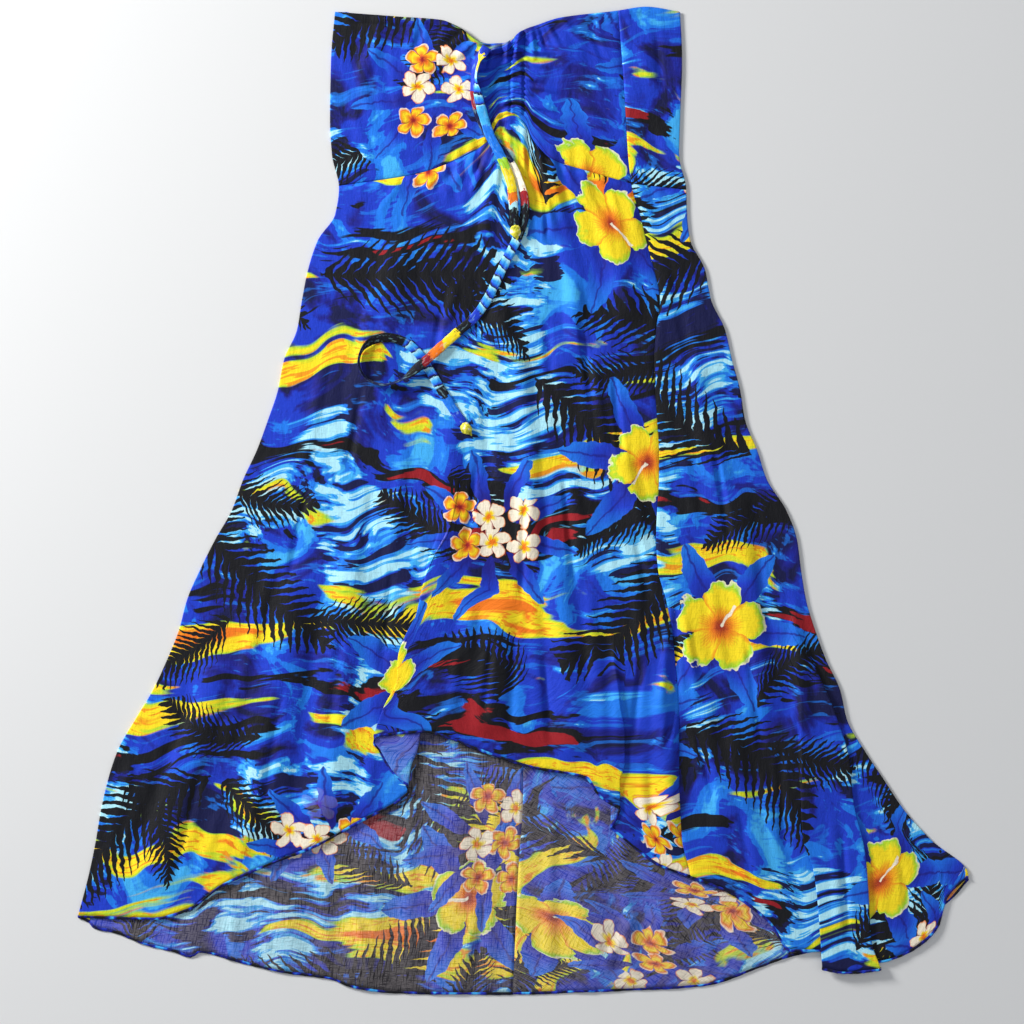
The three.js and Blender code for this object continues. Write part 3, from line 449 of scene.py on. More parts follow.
def gathers(x, y):
    """Small gathers that run down from the waist seam and a little way up from it."""
    below = waist_line(x) - y
    near = bell(x - CHANNEL.x, GATHERS.near)
    reach = np.where(below > 0, mix(*GATHERS.below, near), mix(*GATHERS.above, near))
    strength = mix(*GATHERS.height, near) * np.exp(-np.abs(below) / reach)
    return strength * waves(x, y, GATHERS.pitch, 0.12, 0.4)


def seam_dips(x, y):
    """The cloth drawn down into the waist seam and the side seam."""
    waist = np.abs(waist_line(x) - y)
    side = np.abs(side_seam(y) - x)
    return -SEAM_DIP * bell(np.minimum(waist, side), SEAM_REACH)


def top_hem_ripple(x, y):
    """The neckline's casing: a rolled edge, a line of stitching, and small gathers."""
    below = neckline(x) - y
    rolled = 0.5 * bell(below - CASING.roll, 3.2)
    stitched = 0.45 * bell(below - CASING.stitches, 1.8)
    gathered = 0.34 * waves(x, y * 0.3, CASING.pitch, 0, 1.9) * bell(below, CASING.gathers)
    return rolled - stitched + gathered


def channel_relief(x, y):
    """The raised channel, ruched along its length, with a stitched line down each side."""
    aside = np.abs(x - CHANNEL.x)
    down = ease((y - CHANNEL.bottom + 4) / 8)
    raised = CHANNEL.height * ease((CHANNEL.width / 2 + 1 - aside) / 3)
    ruched = 1 + 0.7 * np.sin(TAU * y / CHANNEL.ruche + 0.8 * np.sin(y / 9) + 0.25 * (x - CHANNEL.x))
    stitched = CHANNEL.stitch * bell(aside - CHANNEL.width / 2, 1.3)
    return (raised * ruched - stitched) * down


def front_swell(x, y):
    """How far the front stands off its flat place."""
    across = np.clip((x - left_fold(y)) / (right_fold(y) - left_fold(y)), 0, 1)
    loft = LOFT * (1 - (2 * across - 1) ** 4)
    inset = ease(np.minimum(x - left_fold(y), right_fold(y) - x) / FOLD_INSET)
    swell = loft + FULLNESS.folds * ridges(FRONT_FOLDS, x, y) * inset + channel_relief(x, y)
    kept = (swell + np.sqrt(swell ** 2 + FOLD_SOFTNESS)) / 2
    creases = (
        FULLNESS.creases * ridges(FRONT_CREASES, x, y) + ridges(PUCKER_FOLDS, x, y)
        + gathers(x, y) + ridges(BUNCH_FOLDS, x, y)
        + FULLNESS.sharp_creases * ridges(SHARP_CREASES, x, y)
        + 0.42 * waves(x, y, 21, -0.1, 0.7) + 0.24 * waves(x, y, 9, 0.25, 2.6)
        + top_hem_ripple(x, y)
    )
    return kept + creases * inset + seam_dips(x, y) * inset + ridges(BACK_FOLDS, x, y)


def back_height(x, y):
    """Height of the middle of the cloth that rests on the surface."""
    small = 0.22 * (1 + waves(x, y, 13, 0.1, 1.1)) + 0.12 * (1 + waves(x, y, 6, -0.2, 0.3))
    creases = FULLNESS.back_creases * ridges(BACK_CREASES, x, y)
    return UNDER + ridges(BACK_FOLDS, x, y) + creases + small


def front_height(x, y, lift=0):
    """Height of the middle of the upper cloth, which never sinks into the cloth under it."""
    resting = back_height(x, y) + CLOTH + SLIT
    return np.maximum(UPPER + front_swell(x, y) + lift, resting)


class Region:
    """A stretch of cloth in plan, between two side lines and from its top edge to its hems."""

    def __init__(self, left, right, top, hems):
        self.left = left
        self.right = right
        self.top = self.over_u(top)
        self.general = self.over_u(np.concatenate(hems))

    def across(self, x, y):
        return (x - self.left(y)) / (self.right(y) - self.left(y))

    def over_u(self, points):
        """A line's height in plan, over how far across the region it is."""
        x, y = points.T
        return curve(self.across(x, y), y)


class Place:
    """A region with one of its hems: u runs across, v from the top edge down."""

    def __init__(self, region, hem):
        self.region = region
        self.hem = region.over_u(hem)

    def at(self, u, v):
        region = self.region
        whole = region.general(u)
        y = mix(region.top(u), whole, v) + (self.hem(u) - whole) * v ** HEM_NEARNESS
        return mix(region.left(y), region.right(y), u), y

    def side(self, u, v):
        """Height in plan of a side edge, where u is 0 or 1."""
        return self.at(np.full_like(v, u), v)[1]

    def crossing(self, line):
        """The u where a line, given as x over y, crosses each row, found step by step."""
        def at(v):
            u = np.full_like(v, 0.5)
            for _ in range(CROSSING_STEPS):
                y = self.at(u, v)[1]
                u = mix(u, self.region.across(line(y), y), CROSSING_SHARE)
            return u
        return at


def overlap_section(turned, depth):
    """The section through an overlap: from the lower cloth, up and back, then over."""
    fan = 1 + OVERLAP_FAN * (1 - np.minimum(1, turned / OVERLAP_FANNED)) ** 2
    lies = ease((turned - OVERLAP_LIES) / (1 - OVERLAP_LIES))
    flat = (depth - 1) * lies + OVERLAP_LEAST * fan
    angle = np.maximum(math.pi * turned, 1e-4)
    radius = OVERLAP_ARC * fan / angle
    bend_x = radius * np.sin(angle)
    bend_z = radius * (1 - np.cos(angle))
    reach = 2 * bend_x + flat * np.cos(angle)
    rise = 2 * bend_z + flat * np.sin(angle)

    def at(f):
        first = angle * f / BEND_SHARE
        last = angle * (1 - f) / BEND_SHARE
        along = flat * (f - BEND_SHARE) / (1 - 2 * BEND_SHARE)
        in_first = f < BEND_SHARE
        in_flat = f <= 1 - BEND_SHARE
        x = np.where(in_first, radius * np.sin(first), np.where(
            in_flat, bend_x + along * np.cos(angle), reach - radius * np.sin(last)))
        z = np.where(in_first, radius * (1 - np.cos(first)), np.where(
            in_flat, bend_z + along * np.sin(angle), rise - radius * (1 - np.cos(last))))
        return x, z, np.where(in_first, first, np.where(in_flat, angle, last))

    return SimpleNamespace(at=at, reach=reach, rise=rise)


class Overlap:
    """An overlap in place. facing is -1 where its outer edge faces left."""

    def __init__(self, rows, facing):
        self.facing = facing
        self.edge = curve(rows["y"], rows["x"])
        self.turned = curve(rows["y"], rows["turned"])
        self.depth = curve(rows["y"], rows["depth"])

    def section(self, y):
        return overlap_section(self.turned(y), self.depth(y))

    def middle(self, y):
        return self.edge(y) - self.facing * np.maximum(0, -self.section(y).reach) / 2

    def lower(self, y):
        return self.middle(y) + self.facing * self.section(y).reach / 2

    def upper(self, y):
        return self.middle(y) - self.facing * self.section(y).reach / 2

    def lift(self, x, y):
        """Height of the upper cloth over its ordinary place, beside the overlap."""
        section = self.section(y)
        beyond = -self.facing * (x - self.middle(y)) - np.abs(section.reach) / 2 - 1
        return section.rise * (1 - ease(beyond / SETTLE))


overlaps = SimpleNamespace(**{
    name: Overlap(rows, -1 if name.endswith("left") else 1) for name, rows in OVERLAPS.items()
})

# Side lines of the panels in plan, at a fold or a seam
edges = SimpleNamespace(
    front_left=lambda y: left_fold(y) + EDGE,
    front_right=lambda y: side_seam(y) - SEAM_GAP / 2,
    side_left=lambda y: side_seam(y) + SEAM_GAP / 2,
    side_right=lambda y: right_fold(y) - EDGE,
    back_left=lambda y: left_fold(y) + WRAP + SEAM_GAP,
    back_seam_left=lambda y: back_seam(y) - SEAM_GAP / 2,
    back_seam_right=lambda y: back_seam(y) + SEAM_GAP / 2,
)


# Spans: each is a run of columns, with points and the direction of the cloth's right side

def top_span(columns, place, start, end, start_fold=None, end_fold=None):
    """Upper cloth between two lines, each given as u over v, lifted by the overlaps it ends on."""
    def at(f, v):
        x, y = place.at(mix(start(v), end(v), f), v)
        lift = np.zeros_like(x)
        if start_fold:
            lift = lift + start_fold.lift(x, y) * (1 - ease(f))
        if end_fold:
            lift = lift + end_fold.lift(x, y) * ease(f)
        return x, y, front_height(x, y, lift), np.zeros_like(x)
    return columns, at


def overlap_span(columns, before, after, fold):
    """The overlap between two runs of upper cloth, each given as its place and its end line."""
    from_lower = fold.facing < 0

    def at(f, v):
        start = before[0].at(before[1](v), v)
        end = after[0].at(after[1](v), v)
        (lower_x, lower_y), (upper_x, upper_y) = (start, end) if from_lower else (end, start)
        middle = (lower_y + upper_y) / 2
        g = f if from_lower else 1 - f
        section = fold.section(middle)
        point_x, point_z, angle = section.at(g)
        missed = upper_x - lower_x + fold.facing * section.reach
        made = np.clip((g - BEND_SHARE) / (1 - 2 * BEND_SHARE), 0, 1)
        x = lower_x - fold.facing * point_x + missed * made
        straight = mix(lower_y, upper_y, fallen(g))
        planned = before[0].at(before[0].region.across(x, straight), v)[1]
        y = mix(planned, straight, ease(2 * fold.turned(middle)))
        return x, y, front_height(x, y, point_z), -fold.facing * angle
    return columns, at


def turn_span(columns, line, facing, y_under, y_top):
    """A side fold, from the underside up to the top, or from the top down."""
    def at(f, v):
        g = f if facing < 0 else 1 - f
        y = mix(y_under(v), y_top(v), g)
        a = math.pi * g
        start = line(y) - facing * EDGE
        rise = front_height(start, y) - UPPER
        rise_under = back_height(start, y) - UNDER
        x = start + facing * BEND * np.sin(a)
        z = UNDER + BEND * (1 - np.cos(a)) + mix(rise_under, rise, g)
        return x, y, z, (math.pi - a if facing < 0 else a - math.pi)
    return columns, at


def under_span(columns, points, angle):
    """Cloth that rests on the surface."""
    def at(f, v):
        x, y = points(f, v)
        return x, y, back_height(x, y), np.full_like(x, angle)
    return columns, at


def points_of(spans, rows):
    """The points of all rows, from the first span to the last."""
    v = rows[:, None]
    parts = []
    for number, (columns, at) in enumerate(spans):
        last = number == len(spans) - 1
        f = (np.arange(columns + last) / columns)[None, :]
        parts.append([np.broadcast_to(part, (len(rows), f.size)) for part in at(f, v)])
    return [np.concatenate(part, axis=1) for part in zip(*parts)]


def overlapped_spans(region, hems, columns, first, second):
    """Three runs of upper cloth with an overlap between each two. Also the outer two's places."""
    left, middle, right = (Place(region, hems[name]) for name in ("left", "middle", "right"))
    end_left = left.crossing(first.lower)
    start_middle = middle.crossing(first.upper)
    end_middle = middle.crossing(second.upper)
    start_right = right.crossing(second.lower)
    return left, right, [
        top_span(columns.left, left, np.zeros_like, end_left),
        overlap_span(columns.overlap, (left, end_left), (middle, start_middle), first),
        top_span(columns.middle, middle, start_middle, end_middle, first, second),
        overlap_span(columns.overlap, (middle, end_middle), (right, start_right), second),
        top_span(columns.right, right, start_right, np.ones_like),
    ]


def left_edge_spans(place, drop):
    """The front's strip underneath, and the left fold up to its top side."""
    def side(v):
        return place.side(0, v)

    def under(f, v):
        y = side(v) - drop * v * (1 - f)
        return left_fold(y) + mix(WRAP, EDGE, f), y

    return [
        under_span(SKIRT_FRONT_COLUMNS.under, under, math.pi),
        turn_span(SKIRT_FRONT_COLUMNS.turn, left_fold, -1, side, side),
    ]


def right_edge_spans(top, under, columns):
    """The right fold from the top side down, and the back from there to its other edge."""
    return [
        turn_span(
            columns.turn, right_fold, 1, lambda v: under.side(1, v), lambda v: top.side(1, v)),
        under_span(columns.under, lambda f, v: under.at(1 - f, v), -math.pi),
    ]


def skirt_front_spans():
    """The skirt's front without its left edge, and the place of its left run."""
    top = WAIST_SEAM - [0, SEAM_GAP / 2]
    hems = [FRONT_HEM["left"][:-2], FRONT_HEM["middle"][1:-1], FRONT_HEM["right"][1:]]
    region = Region(edges.front_left, edges.front_right, top, hems)
    left, _, spans = overlapped_spans(
        region, FRONT_HEM, SKIRT_FRONT_COLUMNS, overlaps.front_left, overlaps.front_right)
    return left, spans


def bodice_front_spans(skirt_left, skirt_spans):
    """The bodice's front, whose columns meet the skirt's at the waist seam."""
    seam_x, seam_y, _, _ = points_of(skirt_spans, np.zeros(1))
    us = skirt_left.region.across(seam_x, seam_y).ravel()
    edge = WAIST_SEAM + [0, SEAM_GAP / 2]
    place = Place(Region(edges.front_left, edges.front_right, NECKLINE, [edge]), edge)

    def at(f, v):
        u = np.interp(f * (len(us) - 1), np.arange(len(us)), us)
        x, y = place.at(u, v)
        return x, y, front_height(x, y), np.zeros_like(x)

    return [*left_edge_spans(place, 0), (len(us) - 1, at)]


def bodice_back_spans():
    """The bodice's back, from the side seam on top round the right fold and along underneath."""
    columns = BODICE_BACK_COLUMNS
    side_edge = SIDE_WAIST_SEAM + [0, SEAM_GAP / 2]
    back_edge = BACK_WAIST_SEAM + [0, SEAM_GAP / 2]
    top = Place(Region(edges.side_left, edges.side_right, NECKLINE, [side_edge]), side_edge)
    under = Place(Region(edges.back_left, edges.side_right, BACK_NECKLINE, [back_edge]), back_edge)
    return [
        top_span(columns.top, top, np.zeros_like, np.ones_like),
        *right_edge_spans(top, under, columns),
    ]


def skirt_back_left_spans():
    """The left half of the skirt's back, which lies under the front."""
    region = Region(edges.back_left, edges.back_seam_left, BACK_WAIST_SEAM, [BACK_HEM])
    under = Place(region, BACK_HEM)
    return [under_span(BACK_LEFT_COLUMNS, lambda f, v: under.at(1 - f, v), math.pi)]


def skirt_back_right_spans():
    """The right half of the skirt's back, from the side seam on top round to the back seam."""
    hems = [SIDE_HEM["left"][:-1], SIDE_HEM["middle"][1:-1], FOLD_ROWS_END]
    top = SIDE_WAIST_SEAM - [0, SEAM_GAP / 2]
    region = Region(edges.side_left, edges.side_right, top, hems)
    _, right, spans = overlapped_spans(
        region, SIDE_HEM, SIDE_COLUMNS, overlaps.side_left, overlaps.side_right)
    under = Place(
        Region(
            edges.back_seam_right, edges.side_right, BACK_WAIST_SEAM,
            [BACK_HEM[:-3], FOLD_ROWS_END]),
        BACK_HEM)
    return [*spans, *right_edge_spans(right, under, SIDE_COLUMNS)]


def link(name, mesh, *materials):
    """A finished piece of the dress, which has one body."""
    for material in materials:
        mesh.materials.append(material)
    piece = bpy.data.objects.new(name, mesh)
    bpy.context.scene.collection.objects.link(piece)
    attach(piece, "root")
    return piece


def smooth_mesh(name, bm):
    """The mesh of a finished bmesh, smoothly shaded."""
    for face in bm.faces:
        face.smooth = True
    mesh = bpy.data.meshes.new(name)
    bm.to_mesh(mesh)
    bm.free()
    return mesh


def grid_mesh(name, points, coordinates):
    """A mesh through rows of points. Its UV map is the cloth's own coordinates, in metres.

    Its right side is where the rows run up the left.
    """
    rows, columns = points.shape[0] - 1, points.shape[1] - 1
    bm = bmesh.new()
    bmesh.ops.create_grid(bm, x_segments=columns, y_segments=rows, size=1)
    mesh = smooth_mesh(name, bm)
    plan = np.empty(len(mesh.vertices) * 3)
    mesh.vertices.foreach_get("co", plan)
    plan = plan.reshape(-1, 3)
    column = np.rint((plan[:, 0] + 1) / 2 * columns).astype(int)
    row = np.rint((1 - plan[:, 1]) / 2 * rows).astype(int)
    mesh.vertices.foreach_set("co", (points[row, column] * MM).ravel())
    corners = np.empty(len(mesh.loops), dtype=np.int32)
    mesh.loops.foreach_get("vertex_index", corners)
    places = (coordinates[row, column] * MM)[corners]
    layer = mesh.uv_layers.new(name="print")
    layer.data.foreach_set("uv", np.ascontiguousarray(places, dtype=np.float32).ravel())
    mesh.update()
    return mesh


def opened_out(coordinates, x, y, start):
    """The print's coordinates past the right fold, as if the cloth there were opened out flat."""
    corner = np.array([right_fold(RIGHT_FOLD_RUN[0]), RIGHT_FOLD_RUN[0]])
    along_fold = unit(np.array([right_fold(RIGHT_FOLD_RUN[1]), RIGHT_FOLD_RUN[1]]) - corner)
    offset = np.stack([x[:, start:], y[:, start:]], axis=2) - corner
    mirrored = 2 * (offset @ along_fold)[:, :, None] * along_fold - offset
    return mirrored + (coordinates[:, start:start + 1] - mirrored[:, :1])


def cloth_panel(name, spans, rows):
    """A panel of the dress as a thin shell, right side out, with its lower edge for the hem."""
    x, y, z, angle = points_of(spans, rows)
    z = np.maximum(z, LOWEST)
    steps = np.hypot(np.diff(x, axis=1), np.diff(z, axis=1))
    travelled = np.concatenate([np.zeros((len(rows), 1)), np.cumsum(steps, axis=1)], axis=1)
    shift_x, shift_y = PRINT_SHIFT[name]
    down = y - drawn_up(x, y) if name in ("bodice_front", "skirt_front") else y
    coordinates = np.stack([x[:, :1] + travelled + shift_x, down + shift_y], axis=2)
    if name == "skirt_back_right":
        start = x.shape[1] - SIDE_COLUMNS.under - 1
        coordinates[:, start:] = opened_out(coordinates, x, y, start)
    mesh = grid_mesh(name, np.stack([x, y, z], axis=2), coordinates)
    piece = link(name + "_cloth", mesh, right_side, wrong_side)
    shell = piece.modifiers.new("thickness", "SOLIDIFY")
    shell.thickness = CLOTH * MM
    shell.offset = 0
    shell.material_offset = 1
    shell.material_offset_rim = 0
    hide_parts(name)
    edge = np.stack([x[-1], y[-1], z[-1]], axis=1)
    normals = np.stack([-np.sin(angle[-1]), np.zeros(x.shape[1]), np.cos(angle[-1])], axis=1)
    return piece, edge, normals


def sweep(name, path, across, up, half_width, half_height, sides):
    """A closed tube along a path, with its section's half width and height at each ring."""
    turn = TAU * np.arange(sides + 1) / sides
    ring = (
        across[:, None, :] * (np.cos(turn)[None, :, None] * half_width[:, None, None])
        + up[:, None, :] * (np.sin(turn)[None, :, None] * half_height)
    )
    coordinates = np.stack(np.broadcast_arrays(
        distances(path)[:, None], (turn / TAU * 2 * TIE_WIDTH)[None, :]), axis=2)
    mesh = grid_mesh(name, path[:, None, :] + ring, coordinates)
    bm = bmesh.new()
    bm.from_mesh(mesh)
    bmesh.ops.remove_doubles(bm, verts=bm.verts, dist=1e-6)
    bmesh.ops.holes_fill(bm, edges=[edge for edge in bm.edges if edge.is_boundary], sides=0)
    bmesh.ops.recalc_face_normals(bm, faces=bm.faces)
    bm.to_mesh(mesh)
    bm.free()
    return mesh


def hem_piece(name, edge, normals):
    """The rolled and overlocked edge along a hem, a little uneven in width."""
    tangents = unit(np.gradient(edge, axis=0))
    across = unit(np.cross(normals, tangents))
    ring = np.arange(len(edge))
    wobble = np.sin(ring * 1.9) * 0.15 + np.sin(ring * 0.37) * 0.25
    mesh = sweep(
        name, edge - across * HEM_OVERHANG, across, normals, HEM_HALF_WIDTH + wobble,
        HEM_HALF_HEIGHT, THREAD_SIDES)
    piece = link(name, mesh, hem_cloth)
    return piece


def tack_piece(name):
    """The bar of dark stitches on the neckline's casing."""
    y = np.linspace(TACK.top, TACK.bottom, TACK.rings)
    x = TACK.x + 0.25 * np.sin(y * 2.1)
    path = np.column_stack([x, y, front_height(x, y) + CLOTH / 2 + 0.1])
    across = np.broadcast_to([1.0, 0.0, 0.0], path.shape)
    up = np.broadcast_to([0.0, 0.0, 1.0], path.shape)
    half_width = TACK.half_width * (1 + 0.25 * np.sin(y * 4.3))
    mesh = sweep(name, path, across, up, half_width, TACK.half_height, THREAD_SIDES)
    piece = link(name, mesh, dark_thread)
    return piece


def tie_path(route):
    """A smooth line in plan through a tie's route, and how far along it each ring is."""
    plan = np.array(route) / MM
    distance = distances(plan)
    slopes = np.gradient(plan, distance, axis=0)
    at = np.linspace(0, distance[-1], int(distance[-1] / TIE_STEP) + 1)
    x, y = (joined(distance, plan[:, k], slopes[:, k], at) for k in (0, 1))
    return x, y, at


def ground_under(x, y):
    """The highest cloth within a tie's width of each ring, evened out along the tie."""
    reach = TIE_WIDTH / 2 - 1
    steps = (-reach, 0, reach)
    highest = np.max([front_height(x + dx, y + dy) for dx in steps for dy in steps], axis=0)
    weights = np.hanning(TIE_SMOOTHING) / np.hanning(TIE_SMOOTHING).sum()
    return np.convolve(np.pad(highest, TIE_SMOOTHING // 2, mode="edge"), weights, mode="valid")


def tie_piece(name, route, rises, twist, material):
    """A flat tube of cloth along its route, and the knot at its end."""
    x, y, at = tie_path(route)
    turned = curve(*np.array(twist, float).T)(at)
    raised = curve(*np.array(rises, float).T)(at)
    # The tube is a little uneven, and narrower and higher where it stands on edge
    half_width = TIE_WIDTH / 2 * (0.95 + 0.05 * np.sin(at / 6.1) * np.sin(at / 2.3 + 1))
    half_width = half_width * (1 - 0.25 * np.sin(turned) ** 2)
    stand = np.abs(np.sin(turned)) * (half_width - CLOTH)
    z = ground_under(x, y) + CLOTH / 2 + TIE_REST + raised * TIE_STACK + stand
    path = np.column_stack([x, y, z])
    tangents = unit(np.gradient(path, axis=0))
    side = unit(np.cross(np.broadcast_to([0.0, 0.0, 1.0], tangents.shape), tangents))
    above = unit(np.cross(tangents, side))
    across = side * np.cos(turned)[:, None] + above * np.sin(turned)[:, None]
    up = unit(np.cross(tangents, across))
    mesh = sweep(name, path, across, up, half_width, TIE_THICK / 2, TIE_SIDES)
    piece = link(name + "_cloth", mesh, material)
    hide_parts(name)
    knot = knot_piece(name + "_knot", path[-1], tangents[-1])


def knot_piece(name, end, onward):
    """A small pulled knot with a short tail: a ball with grooves where the cloth wraps round."""
    bm = bmesh.new()
    bmesh.ops.create_uvsphere(bm, u_segments=40, v_segments=26, radius=1)
    heading = math.atan2(onward[1], onward[0])
    centre = Vector(end) + Vector((math.cos(heading), math.sin(heading), 0)) * KNOT.length * KNOT.ahead
    for vert in bm.verts:
        # x runs along the tie, and the ball's poles are at its ends
        x, y, z = vert.co.z, vert.co.x, vert.co.y
        around = math.atan2(z, y)
        groove = abs(math.sin(1.0 * around + 3.1 * x + 0.6)) ** 0.6
        wrap = abs(math.sin(1.5 * around - 2.2 * x)) ** 0.5
        swell = 0.80 + 0.13 * groove + 0.11 * wrap
        tip = 1 + 0.24 * max(0, x) ** 6 * (1 + math.cos(around))
        length = KNOT.length / 2 * x * swell * tip
        width = KNOT.width / 2 * y * swell
        height = KNOT.height / 2 * z * swell
        vert.co = centre + Vector((
            length * math.cos(heading) - width * math.sin(heading),
            length * math.sin(heading) + width * math.cos(heading),
            max(height, -KNOT.below),
        ))
        vert.co *= MM
    bmesh.ops.recalc_face_normals(bm, faces=bm.faces)
    piece = link(name + "_cloth", smooth_mesh(name, bm), knot_cloth)
    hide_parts(name)
    return piece


class Number:
    """A number that varies over a material, worked out by nodes."""

    def __init__(self, graph, socket):
        self.graph = graph
        self.socket = socket

    def __add__(self, other):
        return self.graph.maths("ADD", self, other)

    def __sub__(self, other):
        return self.graph.maths("SUBTRACT", self, other)

    def __rsub__(self, other):
        return self.graph.maths("SUBTRACT", other, self)

    def __mul__(self, other):
        return self.graph.maths("MULTIPLY", self, other)

    def __truediv__(self, other):
        return self.graph.maths("DIVIDE", self, other)

    def __pow__(self, other):
        return self.graph.maths("POWER", self, other)

    def __abs__(self):
        return self.graph.maths("ABSOLUTE", self)

    __radd__ = __add__
    __rmul__ = __mul__

    def sine(self):
        return self.graph.maths("SINE", self)

    def fraction(self):
        return self.graph.maths("FRACT", self)

    def at_least(self, other):
        return self.graph.maths("MAXIMUM", self, other)

    def rises(self, low, high):
        """From 0 at low to 1 at high, smoothly. It falls where low is the larger."""
        made = self.graph.node(
            "MapRange", {"Value": self, "From Min": low, "From Max": high},
            interpolation_type="SMOOTHSTEP")
        return Number(self.graph, made.outputs["Result"])


class Graph:
    """The nodes of one material."""

    def __init__(self, name):
        self.material = bpy.data.materials.new(name)
        self.material.use_nodes = True
        self.tree = self.material.node_tree
        self.shader = self.tree.nodes["Principled BSDF"]

    def node(self, kind, inputs=None, **settings):
        """One node, with its settings, and with numbers or links on its inputs."""
        made = self.tree.nodes.new("ShaderNode" + kind)
        for key, value in settings.items():
            setattr(made, key, value)
        for key, value in (inputs or {}).items():
            self.feed(made.inputs[key], value)
        return made

    def feed(self, socket, value):
        if isinstance(value, Number):
            value = value.socket
        if isinstance(value, bpy.types.NodeSocket):
            self.tree.links.new(value, socket)
        else:
            socket.default_value = value

    def maths(self, operation, *values):
        made = self.node("Math", dict(enumerate(values)), operation=operation)
        return Number(self, made.outputs[0])

    def vector(self, operation, *values):
        made = self.node("VectorMath", dict(enumerate(values)), operation=operation)
        return made.outputs["Value" if operation == "LENGTH" else "Vector"]

    def split(self, vector):
        made = self.node("SeparateXYZ", {0: vector})
        return Number(self, made.outputs[0]), Number(self, made.outputs[1])

    def join(self, x, y):
        return self.node("CombineXYZ", {0: x, 1: y}).outputs[0]

    def paint(self, under, amount, over):
        """One colour over another, where amount is 1."""
        made = self.node("Mix", {0: amount, 6: under, 7: over}, data_type="RGBA")
        return made.outputs[2]

    def print_place(self):
        """The cloth's own coordinates, in millimetres."""
        uv = self.node("UVMap", uv_map="print").outputs["UV"]
        return self.vector("MULTIPLY", uv, (1 / MM, 1 / MM, 1))

    def stretched(self, vector, x, y):
        return self.vector("MULTIPLY", vector, (x, y, 1.0))

    def cloth(self, base, roughness, height, strength, depth):
        """The finished material: soft cloth in these colours, with a small relief this deep."""
        for name, value in (
            ("Base Color", base), ("Roughness", roughness), ("Sheen Weight", 0.06),
            ("Sheen Roughness", 0.45), ("Specular IOR Level", 0.28),
        ):
            self.feed(self.shader.inputs[name], value)
        bump = self.node("Bump", {"Height": height, "Strength": strength, "Distance": depth * MM})
        self.feed(self.shader.inputs["Normal"], bump.outputs["Normal"])
        return self.material

    def noise(self, vector, scale, detail, roughness=0.5, distortion=0.0):
        made = self.node(
            "TexNoise",
            {"Vector": vector, "Scale": scale, "Detail": detail, "Roughness": roughness,
             "Distortion": distortion},
            noise_dimensions="2D")
        return Number(self, made.outputs["Fac"])

    def ramp(self, factor, *stops):
        made = self.node("ValToRGB", {0: factor})
        ramp = made.color_ramp
        while len(ramp.elements) < len(stops):
            ramp.elements.new(0.5)
        for element, (position, value) in zip(ramp.elements, stops):
            element.position = position
            element.color = value
        return made.outputs["Color"]

    def cells(self, vector, size, randomness, shift):
        """Places for motifs, one in each uneven cell, each turned its own way."""
        unit_size = (1 / size, 1 / size, 1)
        scaled = self.vector("MULTIPLY_ADD", vector, unit_size, (*shift, 0))
        made = self.node(
            "TexVoronoi", {"Vector": scaled, "Scale": 1.0, "Randomness": randomness},
            voronoi_dimensions="2D", feature="F1")
        chance = self.node("SeparateColor", {0: made.outputs["Color"]})
        first, second, third = (Number(self, socket) for socket in chance.outputs)
        local = self.vector("SUBTRACT", scaled, made.outputs["Position"])
        local = self.vector("MULTIPLY", local, (size, size, 0))
        turned = self.node(
            "VectorRotate", {"Vector": local, "Angle": first * TAU}, rotation_type="Z_AXIS")
        x, y = self.split(turned.outputs[0])
        radius = Number(self, self.vector("LENGTH", local))
        angle = self.maths("ARCTAN2", y, x)
        middle = self.vector("SUBTRACT", vector, local)
        return SimpleNamespace(
            x=x, y=y, radius=radius, angle=angle, middle=middle, second=second, third=third)


def colour(code):
    """A colour as light, from the usual six letters and digits."""
    parts = [int(code[i:i + 2], 16) / 255 for i in (0, 2, 4)]
    return (*[c / 12.92 if c <= 0.04045 else ((c + 0.055) / 1.055) ** 2.4 for c in parts], 1)


NAVY = colour("050c45")
COBALT = colour("10178a")
ROYAL = colour("1138c4")
AZURE = colour("1478e8")
SKY = colour("3fb0f4")
FOAM = colour("b2ecfb")
BLACK = colour("03040c")
YELLOW = colour("ffe21a")
LIME = colour("a6dc2c")
ORANGE = colour("f47a12")
RED = colour("98101c")
CREAM = colour("fdf0d6")

EDGE_SOFTNESS = 0.45       # half of a printed edge's blur
THREAD = 0.9               # from one thread of the weave to the second one after it
TIE_BAND = 10.5            # pitch of the bands on a tie

# Motifs of the print: a bloom's radius is its least plus a part of its range, leaf says where a
# leaf starts and ends and how wide it is to each side, a frond's sizes are shares of its cell,
# and left_out is the share of the cells that stay empty
BLOOM = SimpleNamespace(
    pitch=235, petals=5, leaves=6, leaf=(14, 92, 14), least=34, range=12, left_out=0.40)
FROND = SimpleNamespace(
    half_length=0.54, half_width=0.24, leaflet=0.062, sweep=0.9, left_out=0.36)
BUNCH = SimpleNamespace(
    pitch=250, leaves=9, leaf=(22, 88, 9), radius=50, flower_pitch=36, petals=5, left_out=0.24)


def inside(amount):
    """1 where a distance in millimetres is inside a motif's edge."""
    return amount.rises(-EDGE_SOFTNESS, EDGE_SOFTNESS)


